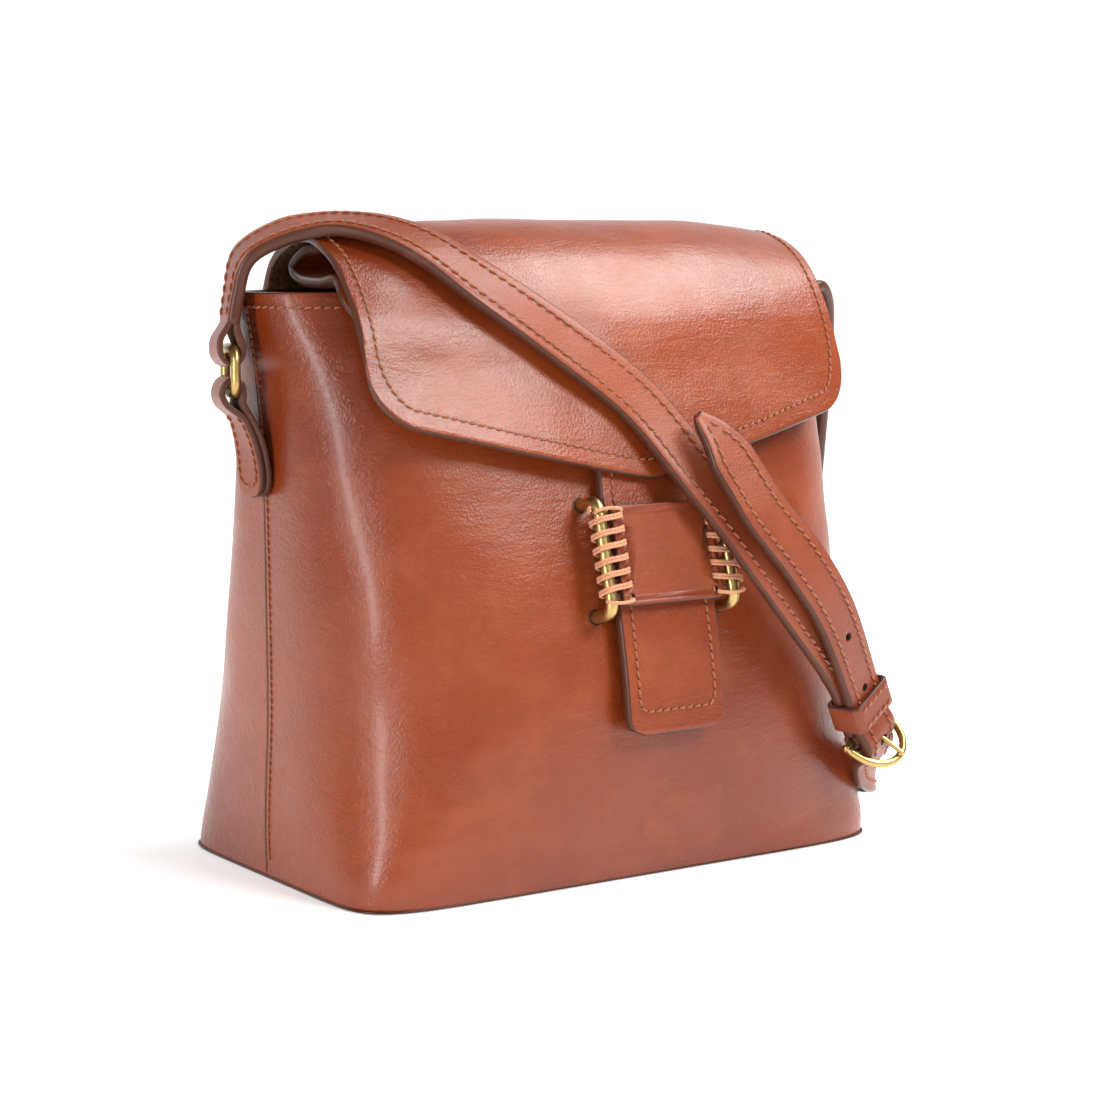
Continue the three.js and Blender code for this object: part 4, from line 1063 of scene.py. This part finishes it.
for side, word in ((-1, "left"), (1, "right")):
    bar = joinShells("bar_" + word + "Brass", [tube(barPath(side), bridgeSize["bar"], 20)], brass)
    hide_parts("bar_" + word)
    shells = []
    for shift in (-0.52, 0.52):
        shells += cordShells(denser(lacePath(side, shift)), bridgeSize["lace"] * 0.86)
    # one thicker wrap over each end
    for end in (-1, 1):
        outer = barX + bridgeSize["bar"] + 0.9
        top = end * (bridgeSize["turns"] - 1) / 2 * lacePitch
        wrap = []
        for k in range(13):
            turn = math.pi * k / 12
            x = side * mix(laceHoleX + 0.4, outer, (1 - math.cos(turn)) / 2)
            up = top + end * (0.9 + 1.1 * math.sin(turn))
            wrap.append(fromBridge(x, up, 1.6 + 2.1 * math.sin(turn) ** 0.6))
        shells += cordShells(denser(wrap), bridgeSize["lace"] * 0.92)
    lacing = joinShells("lacing_" + word + "Cord", shells, lacingCord)
    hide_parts("lacing_" + word)
    bodyGroup([bar], "body")
    bodyGroup([lacing], "body")
    rings = []
    for up in (legHeight, -legHeight):  # dark collar where each leg goes in
        depth = skinBehindBar(up)
        centre = fromBridge(side * barX, up, -depth + 0.1)
        out = (fromBridge(0, 0, 1) - fromBridge(0, 0, 0)).normalized()
        loop = [centre + (vec(1, 0, 0) * math.cos(t) + out.cross(vec(1, 0, 0)) * math.sin(t)) * 2.75
                for t in [2 * math.pi * k / 28 for k in range(28)]]
        rings.append(tube(loop, 0.42, 8, True))
    collars = joinShells("legCollars_" + word, rings, edgePaint)
    bodyGroup([collars], "body")
# the bar backing inside the bag takes the shaded suede, painted shade
for name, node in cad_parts.items():
    isWasher = "washer" in name
    if isWasher or name == "bar_backing":
        node.data.materials.clear()
        node.data.materials.append(brass if isWasher else suedeShaded)
print("bridge made")

# rings, side tabs and strap loops

ringSize = {"wire": 1.8, "halfWidth": 11.5, "halfHeight": 8, "corner": 5, "belowRim": 28, "standOff": 10.6,
            "drop": 38, "tab": 5.4, "tabHalfGap": 1.3, "swing": 17, "turnLeft": 18, "turnRight": 0}
# the tab's eye round the lower wire and the strap's round the upper one, out and up from a ring's middle
tabEye = [[3.3, -11.8], [4.6, -8.4], [3.5, -4.8], [0.6, -3.0], [-2.5, -4.4], [-3.2, -8], [-2.6, -11.2]]
strapEye = [[3.0, 14.4], [4.7, 11.6], [5.1, 9], [4.6, 5.4], [2.0, 2.8], [-1.6, 3.2], [-3.3, 6.6],
            [-2.7, 10.6], [-1.5, 14]]
tabShares = (0, 0.1, 0.24, 0.4, 0.56, 0.7, 0.8)
strapSize = {"width": 18, "leather": 2, "layerGap": 0.55, "pitch": 25, "hole": 1.6, "holes": 5,
             "sewnIn": 3.2, "step": 1.6, "crown": 0.22}
strapThick = 2 * strapSize["leather"] + strapSize["layerGap"]
ringMiddle = bag["height"] - ringSize["belowRim"]
ringLow = ringMiddle - ringSize["halfHeight"]


def sideAt(height):
    return bag["halfWidth"] + bagValue(1, height)


ringX = sideAt(ringLow) + ringSize["standOff"]


def ringWays(side, share=1.0):
    turn = math.radians((ringSize["turnLeft"] if side < 0 else ringSize["turnRight"]) * share)
    return vec(side * math.cos(turn), math.sin(turn), 0), vec(-side * math.sin(turn), math.cos(turn), 0)


def fromRing(side, out, back, up):
    o, b = ringWays(side)
    return vec(side * ringX, 0, ringMiddle + up) + o * out + b * back


for side, word in ((-1, "left"), (1, "right")):
    path = []
    flatY, flatZ = ringSize["halfWidth"] - ringSize["corner"], ringSize["halfHeight"] - ringSize["corner"]
    for signY, signZ, start in ((1, 1, 0), (-1, 1, 1), (-1, -1, 2), (1, -1, 3)):
        for k in range(9):
            turn = (start + k / 8) * math.pi / 2
            path.append(fromRing(side, 0, signY * flatY + ringSize["corner"] * math.cos(turn),
                                 signZ * flatZ + ringSize["corner"] * math.sin(turn)))
    ring = joinShells("ring_" + word + "Brass", [tube(path, ringSize["wire"], 20, True)], brass)
    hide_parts("ring_" + word)
    bodyGroup([ring], "ring_" + word)

    # side tab: a doubled tongue sewn to the side, its loop round the ring's lower wire
    low, high, halfTab = ringLow - ringSize["drop"], ringLow - 2, strapSize["width"] / 2

    def tabMiddle(share):  # height and distance from the middle
        height = mix(low, high, share)
        rest = sideAt(height) + 2 * gap + ringSize["tab"] / 2
        return height, mix(rest, ringX, share ** 3)

    outerLine = [vec(out + ringSize["tabHalfGap"], 0, z) for z, out in map(tabMiddle, tabShares)]
    innerLine = [vec(out - ringSize["tabHalfGap"], 0, z) for z, out in map(tabMiddle, tabShares[::-1])]
    eyeTurn = [vec(ringX + x, 0, ringMiddle + z) for x, z in tabEye]
    tabLine = Curve(outerLine + eyeTurn + innerLine)
    tabLength = tabLine.lengths()[-1]

    def tabPlace(u, v, side=side, tabLine=tabLine, tabLength=tabLength, low=low):
        p = tabLine.at(tabLine.spotAt(v * tabLength))
        share = clamp((p.z - low) / (ringLow - low))
        fromEnd = clamp((p.z - low) / halfTab)
        narrow = math.sqrt(max(1 - (1 - fromEnd) ** 2, 0)) * 0.72 + 0.28
        o, b = ringWays(side, share ** 2)
        pillow = 0.4 * (1 - (2 * u - 1) ** 4) * min(share * 5, 1) * (1 - share) * (1 if v < 0.5 else -1)
        return vec(side * ringX, 0, p.z) + o * (p.x - ringX + pillow) + b * ((2 * u - 1) * halfTab * narrow)
    tab = leatherSheet("sideTabBand_" + word, tabPlace, 14, 96, 2.3, [leatherCalm, suede, edgePaint],
                       vec(0, 0, 1))
    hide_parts("side_tab_" + word)
    line = [(0.14, v * 0.4) for v in spread(0.84, 0.2, 40)]
    for t in spread(0, math.pi / 2, 10):
        line.append((0.14 + 0.36 * (1 - math.cos(t)), (0.2 - 0.1 * math.sin(t)) * 0.4))
    line += [(1 - a, v) for a, v in line[::-1][1:]]
    tabSpots = spotsOn(tabPlace, line, 1.15, lambda p, side=side: vec(side, 0, 0))
    tabSewing = stitches("sideTabStitch_" + word, tabSpots, thread, 3.2)
    bodyGroup([tab], "body")
    bodyGroup([tabSewing], "body")
print("rings and tabs made")

# shoulder strap

# each row: a place in shares of the half width, front depth and height, then which way the strap faces
strapLift = flapSize["leather"] / 2 + gap + strapThick / 2
shortRoute = [[-0.946, -0.099, 1.081, -0.5, -0.1, 0.86], [-0.875, -0.172, 1.092, -0.25, -0.2, 0.95],
              [-0.812, -0.262, 1.096, -0.1, -0.27, 0.96], [-0.725, -0.386, 1.088, -0.05, -0.42, 0.9],
              [-0.626, -0.51, 1.063, 0, -0.62, 0.78], [-0.479, -0.69, 0.998, 0, -0.83, 0.55],
              [-0.248, -0.825, 0.907, 0, -0.91, 0.4], [-0.021, -0.939, 0.804, 0, -0.93, 0.36],
              [0.126, -1.109, 0.684, 0, -0.96, 0.28], [0.218, -1.193, 0.616, 0, -0.97, 0.22],
              [0.294, -1.259, 0.552, 0, -0.98, 0.18], [0.452, -1.265, 0.452, 0.05, -0.99, 0.1],
              [0.604, -1.223, 0.362, 0.15, -0.98, 0.06], [0.702, -1.167, 0.298, 0.24, -0.96, 0.02],
              [0.765, -1.135, 0.235, 0.26, -0.96, 0]]
longTip = [[0.101, -1.13, 0.784, 0, -0.93, 0.36], [0.157, -1.188, 0.747, 0, -0.94, 0.33],
           [0.214, -1.253, 0.689, 0, -0.96, 0.26], [0.269, -1.309, 0.631, 0, -0.97, 0.2],
           [0.414, -1.338, 0.543, 0, -0.99, 0.1], [0.555, -1.315, 0.445, 0.08, -0.99, 0.08]]
longRoute = [[0.889, -0.998, 0.154, 0.5, -0.66, -0.54], [0.965, -0.85, 0.123, 0.72, -0.6, -0.12],
             [1.022, -0.685, 0.091, 0.84, -0.3, 0.42], [1.09, -0.45, 0.052, 0.6, 0, 0.8],
             [1.194, -0.184, 0.014, 0.25, 0, 0.97], [1.271, 0.079, 0.006, 0.05, 0, 1],
             [1.335, 0.31, 0.024, -0.1, -0.4, 0.9], [1.346, 0.443, 0.083, 0.2, -0.95, 0.3],
             [1.329, 0.462, 0.166, 0.6, -0.8, 0], [1.31, 0.429, 0.3, 0.9, -0.4, 0],
             [1.299, 0.374, 0.461, 1, -0.1, 0], [1.291, 0.303, 0.645, 1, 0, 0], [1.27, 0.211, 0.806, 1, 0, 0]]
# each row: millimetres out, back and up from a ring's middle, then which way the strap faces
shortStart = [[0.4, 0, 14, -0.95, 0.31, 0], [-1.6, 0.5, 27, -0.93, 0.28, 0.2],
              [-5, -1.5, 41, -0.8, 0.1, 0.58]]
longFinish = [[19, 9, 11, 0.95, 0, 0.3], [12.5, 4, 24, 0.65, 0, 0.75], [5.4, 1, 26.5, -0.3, 0, 0.95],
              [1.3, 0, 20.5, -0.95, 0, 0.3], [0.4, 0, 14, -1, 0, 0]]


def routePlace(row):
    face = vec(*row[3:]).normalized()
    place = vec(row[0] * bag["halfWidth"], row[1] * bag["frontDepth"], row[2] * bag["height"])
    return place + face * strapLift, face


def ringPlace(side, row):
    return fromRing(side, *row[:3]), vec(*row[3:]).normalized()


def makeRoute(places):
    return Curve([p for p, _ in places]), Curve([face for _, face in places])


def routeSpot(route, spot):
    ahead = route[0].ahead(spot)
    face = route[1].at(spot)
    face = (face - ahead * face.dot(ahead)).normalized()
    return route[0].at(spot), ahead, face, ahead.cross(face)


def routeFrame(route, distance):
    return routeSpot(route, route[0].spotAt(distance))


shortStrap = makeRoute([ringPlace(-1, row) for row in shortStart] + [routePlace(row) for row in shortRoute])
shortLength = shortStrap[0].lengths()[-1]
buckleSize = {"halfWidth": 12.5, "reach": 17.5, "tilt": 50, "wire": 1.5, "bar": 1.3, "keeperLeather": 2,
              "keeperHeight": 12, "keeperCorner": 2.2}
foldRadius = buckleSize["bar"] + 2.1
endPlace, endAhead, endFace, endAcross = routeFrame(shortStrap, shortLength)
buckleAcross = -endAcross
buckleAhead = Quaternion(buckleAcross, math.radians(-buckleSize["tilt"])) @ endAhead
buckleOut = buckleAhead.cross(buckleAcross)
barPlace = endPlace + endAhead * (foldRadius + gap + 0.2)


def fromBuckle(ahead, across, out):
    return barPlace + buckleAhead * ahead + buckleAcross * across + buckleOut * out


strapStack = strapThick + 0.5
keeperBack = buckleSize["keeperHeight"] * 0.75
through = []
for share in (1.9, 1.1, 0.3):
    place, _, face, _ = routeFrame(shortStrap, shortLength - keeperBack * share)
    through.append((place + face * strapStack, face))
roundBar = []
for degrees, radius in ((4, 6.9), (42, 7.4), (74, 9)):
    face = Quaternion(buckleAcross, math.radians(degrees)) @ endFace
    roundBar.append((barPlace + face * radius, face))
longStrap = makeRoute([routePlace(row) for row in longTip] + through + roundBar
                      + [routePlace(row) for row in longRoute] + [ringPlace(1, row) for row in longFinish])
longLength = longStrap[0].lengths()[-1]


def shortHalfAt(distance):
    return strapSize["width"] / 2


def longHalfAt(distance):
    return strapSize["width"] / 2 * min((distance + 1.2) / 20, 1) ** 0.7


def bandMesh(name, route, trim, halfAt, materials):
    start, end = trim
    step = strapSize["step"]
    count = int((end - start) / step)
    frames = [routeFrame(route, mix(start, end, k / count)) for k in range(count + 1)]

    def place(u, v):
        k = int(round(v * count))
        p, _, face, across = frames[k]
        wide = halfAt(mix(start, end, k / count))
        crown = strapSize["crown"] * (1 - (2 * u - 1) ** 4)
        wave = 0.25 * noise.noise(Vector((k * step / 28, 0, 3.7)))
        return p + across * ((2 * u - 1) * wide) + face * (crown + wave)
    return leatherSheet(name, place, 8, count, strapThick, materials, frames[count // 2][2])


trimAt = ringSize["swing"] + 0.1 - 14
shortBand = bandMesh("shortStrapLeather", shortStrap, (trimAt, shortLength), shortHalfAt,
                     [strapLeather, suede, edgePaint])
# the long strap's underside takes the shaded suede, painted shade
longBand = bandMesh("longStrapLeather", longStrap, (0, longLength - trimAt), longHalfAt,
                    [strapLeather, suedeShaded, edgePaint])
# each end turns round its ring's upper wire
strapEnds = ((-1, "left", shortStrap, trimAt), (1, "right", longStrap, longLength - trimAt))
for side, word, route, spot in strapEnds:
    p, _, face, across = routeFrame(route, spot)
    split = (strapThick - 2.2) / 2
    eyeTurn = [fromRing(side, x, 0, z) for x, z in strapEye]
    eyeLine = Curve([p + face * split] + eyeTurn + [p - face * split])
    eyeLength = eyeLine.lengths()[-1]

    def eyePlace(u, v, eyeLine=eyeLine, eyeLength=eyeLength, across=across):
        return eyeLine.at(eyeLine.spotAt(v * eyeLength)) + across * ((2 * u - 1) * strapSize["width"] / 2)
    loop = leatherSheet("strapLoop_" + word, eyePlace, 10, 60, 2.2, [strapLeather, suede, edgePaint],
                        vec(0, 0, -1))
    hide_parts("strap_loop_" + word)
    bodyGroup([loop], "body")

prongTop = buckleSize["wire"] + 1.1 + gap
prongStart, prongEnd = fromBuckle(1.2, 0, 1.6), fromBuckle(buckleSize["reach"] + 1, 0, prongTop)


def prongDistance():  # where along the long strap the prong comes through
    best, least, distance = 0, 1e9, 60.0
    line = prongEnd - prongStart
    while distance < 200:
        p = routeFrame(longStrap, distance)[0]
        share = clamp((p - prongStart).dot(line) / line.length_squared)
        away = (prongStart + line * share - p).length
        if away < least:
            best, least = distance, away
        distance += 0.5
    return best


holeAt = prongDistance()
pegs = []
for k in range(strapSize["holes"]):
    p, _, face, across = routeFrame(longStrap, holeAt + (k - 2) * strapSize["pitch"])
    if k == 2:
        pegs.append(tube([fromBuckle(0, 0, 1.2), fromBuckle(buckleSize["reach"] + 4, 0, 4)], 2.4, 20))
    else:
        pegs.append(tube([p - face * 5, p + face * 5], strapSize["hole"], 20, False, across))
# the strap's hole walls take the shaded suede, painted shade inside the holes
cutHoles(longBand, pegs, suedeShaded)
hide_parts("short_strap", "short_strap_lining")
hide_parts("long_strap", "long_strap_lining")
# two points by each strap's ring; swingPiece only bakes each strap piece and its stitches in place
swingZone = {"short": ((-0.1345, 0, 0.2035), (-0.1230, 0, 0.2150)),
             "long": ((0.15, 0.012, 0.192), (0.15, 0.012, 0.176))}


def swingPiece(piece, word):
    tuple(swingZone[word][0])
    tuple(swingZone[word][1])
    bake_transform(piece)


swingPiece(shortBand, "short")
swingPiece(longBand, "long")


def bandLine(route, start, end, across, halfAt, layer):  # a row of stitches along one edge of a strap
    count = int((end - start) / 2.0)
    reach = layer * strapThick / 2 + 0.2
    spots = []
    for k in range(count + 1):
        d = mix(start, end, k / count)
        p, _, face, side = routeFrame(route, d)
        inFrom = across * max(halfAt(d) - strapSize["sewnIn"], 0.5)
        spots.append((p + side * inFrom + face * reach, face * layer))
    return spots


sewn = []
tipFrom = 9
for layer, word in ((1, "Top"), (-1, "Under")):
    for across in (-1, 1):
        note = word + ("Left" if across < 0 else "Right")
        shortLine = bandLine(shortStrap, trimAt + 2, shortLength - 2, across, shortHalfAt, layer)
        longLine = bandLine(longStrap, tipFrom, longLength - trimAt - 2, across, longHalfAt, layer)
        sewn.append(stitches("shortStitch" + note, shortLine, thread, 4.2))
        sewn.append(stitches("longStitch" + note, longLine, thread, 4.2))
tipLine = []
for k in range(9):  # round the pointed tip
    turn = math.pi * k / 8
    p, _, face, side = routeFrame(longStrap, tipFrom - 4.5 * math.sin(turn))
    reach = (longHalfAt(tipFrom) - strapSize["sewnIn"]) * math.cos(turn)
    tipLine.append((p + side * reach + face * (strapThick / 2 + 0.2), face))
sewn.append(stitches("tipStitch", tipLine, thread, 3.8))
for piece in sewn:
    swingPiece(piece, "short" if piece.name.startswith("short") else "long")
print("straps made")

# keeper, buckle

place, ahead, face, across = routeFrame(shortStrap, shortLength - keeperBack)
keeperMiddle = place + face * strapStack / 2
keeperRoom = 0.9 + buckleSize["keeperLeather"] / 2
keeperHalf = (strapSize["width"] / 2 + keeperRoom, (strapStack + strapThick) / 2 + keeperRoom)


def keeperSpot(x, y, share):
    return keeperMiddle + across * x + face * y + ahead * ((share - 0.5) * buckleSize["keeperHeight"])


points, faces, mats, rings = [], [], [], []
# once round the leather's section: outward from its middle, and share of the height
rounds = [(1.0, s) for s in spread(0.05, 0.95, 9)] + [(0.55, 0.99), (0, 1.0), (-0.55, 0.99)]
rounds += [(-1.0, s) for s in spread(0.95, 0.05, 9)] + [(-0.55, 0.01), (0, 0.0), (0.55, 0.01)]
for depth, share in rounds:
    rings.append(len(points))
    corner = buckleSize["keeperCorner"] + depth
    outline = outlineLoop(keeperHalf[0] + depth, keeperHalf[1] + depth, corner, 13)
    points += [keeperSpot(x, y, share) for x, y in outline]
for k in range(len(rings)):
    after = (k + 1) % len(rings)
    faces += ringFaces(rings[k], rings[after], len(outline))
    depth = rounds[k][0] + rounds[after][0]
    mats += [0 if depth == 2 else 1 if depth == -2 else 2] * len(outline)
keeper = addMesh("keeperLeather", points, faces, [leatherCalm, suede, edgePaint], mats)
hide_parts("keeper")
bodyGroup([keeper], "strap")
keeperSewing = []
for share in (0.2, 0.8):
    note = str(int(share * 10))
    spots = []
    for s in spread(-1, 1, 20):
        spots.append((keeperSpot(s * (keeperHalf[0] - 1.5), keeperHalf[1] + 1.0, share), face))
    keeperSewing.append(stitches("keeperStitch" + note, spots, thread, 3.4))
    spots = []
    for s in spread(-1, 1, 12):
        spots.append((keeperSpot(-(keeperHalf[0] + 1.0), s * (keeperHalf[1] - 1.5), share), -across))
    keeperSewing.append(stitches("keeperSideStitch" + note, spots, thread, 3.4))
bodyGroup(keeperSewing, "strap")

path = []
for k in range(41):
    turn = (k / 40 - 0.5) * math.pi
    reach = buckleSize["reach"] * max(math.cos(turn), 0) ** 0.8
    path.append(fromBuckle(reach, buckleSize["halfWidth"] * math.sin(turn), 0))
end = buckleSize["halfWidth"] + buckleSize["wire"] * 0.7
frameTube = tube(path, buckleSize["wire"], 20)
barTube = tube([fromBuckle(0, mix(-end, end, s), 0) for s in spread(0, 1, 9)], buckleSize["bar"], 18)
knobs = []
for sign in (-1, 1):
    middle = fromBuckle(0, sign * buckleSize["halfWidth"], 0)
    knobs.append(tube([middle + buckleAcross * (s * 1.5) for s in spread(-1, 1, 9)],
                      lambda s: 1.75 * math.sqrt(max(1 - (2 * s - 1) ** 2 * 0.85, 0.05)), 18))
buckle = joinShells("buckleBrass", [frameTube, barTube] + knobs, brass)
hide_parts("buckle_frame")
bodyGroup([buckle], "buckle")
curl = []  # round the bar
for t in spread(math.radians(395), math.radians(75), 20):
    curl.append(fromBuckle(2.0 * math.cos(t), 0, 2.0 * math.sin(t)))
straight = []
for s in spread(0, 1, 18):
    out = mix(2.15, prongTop, s) + 0.35 * math.sin(math.pi * s)
    straight.append(fromBuckle(mix(1.4, buckleSize["reach"] + 1, s), 0, out))
prongTube = tube(curl + straight[1:], lambda s: 0.85 if s < 0.5 else mix(1.15, 0.85, (s - 0.5) * 2), 14)
prong = joinShells("prongBrass", [prongTube], brass)
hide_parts("buckle_prong")
bodyGroup([prong], "prong")


def foldBand(name, low, high):
    def place(u, v):
        turn = math.radians(mix(-150, 150, v))
        r = foldRadius - 0.9
        p = barPlace + endAhead * r * math.cos(turn) + endFace * r * math.sin(turn)
        return p + buckleAcross * mix(low, high, u)
    return leatherSheet(name, place, 4, 30, 1.7, [strapLeather, suede, edgePaint], endAhead)


foldLeft = foldBand("buckleFoldLeft", -strapSize["width"] / 2 + 0.4, -2.4)
foldRight = foldBand("buckleFoldRight", 2.4, strapSize["width"] / 2 - 0.4)
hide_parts("buckle_fold")
bodyGroup([foldLeft, foldRight], "strap")
print("buckle made")
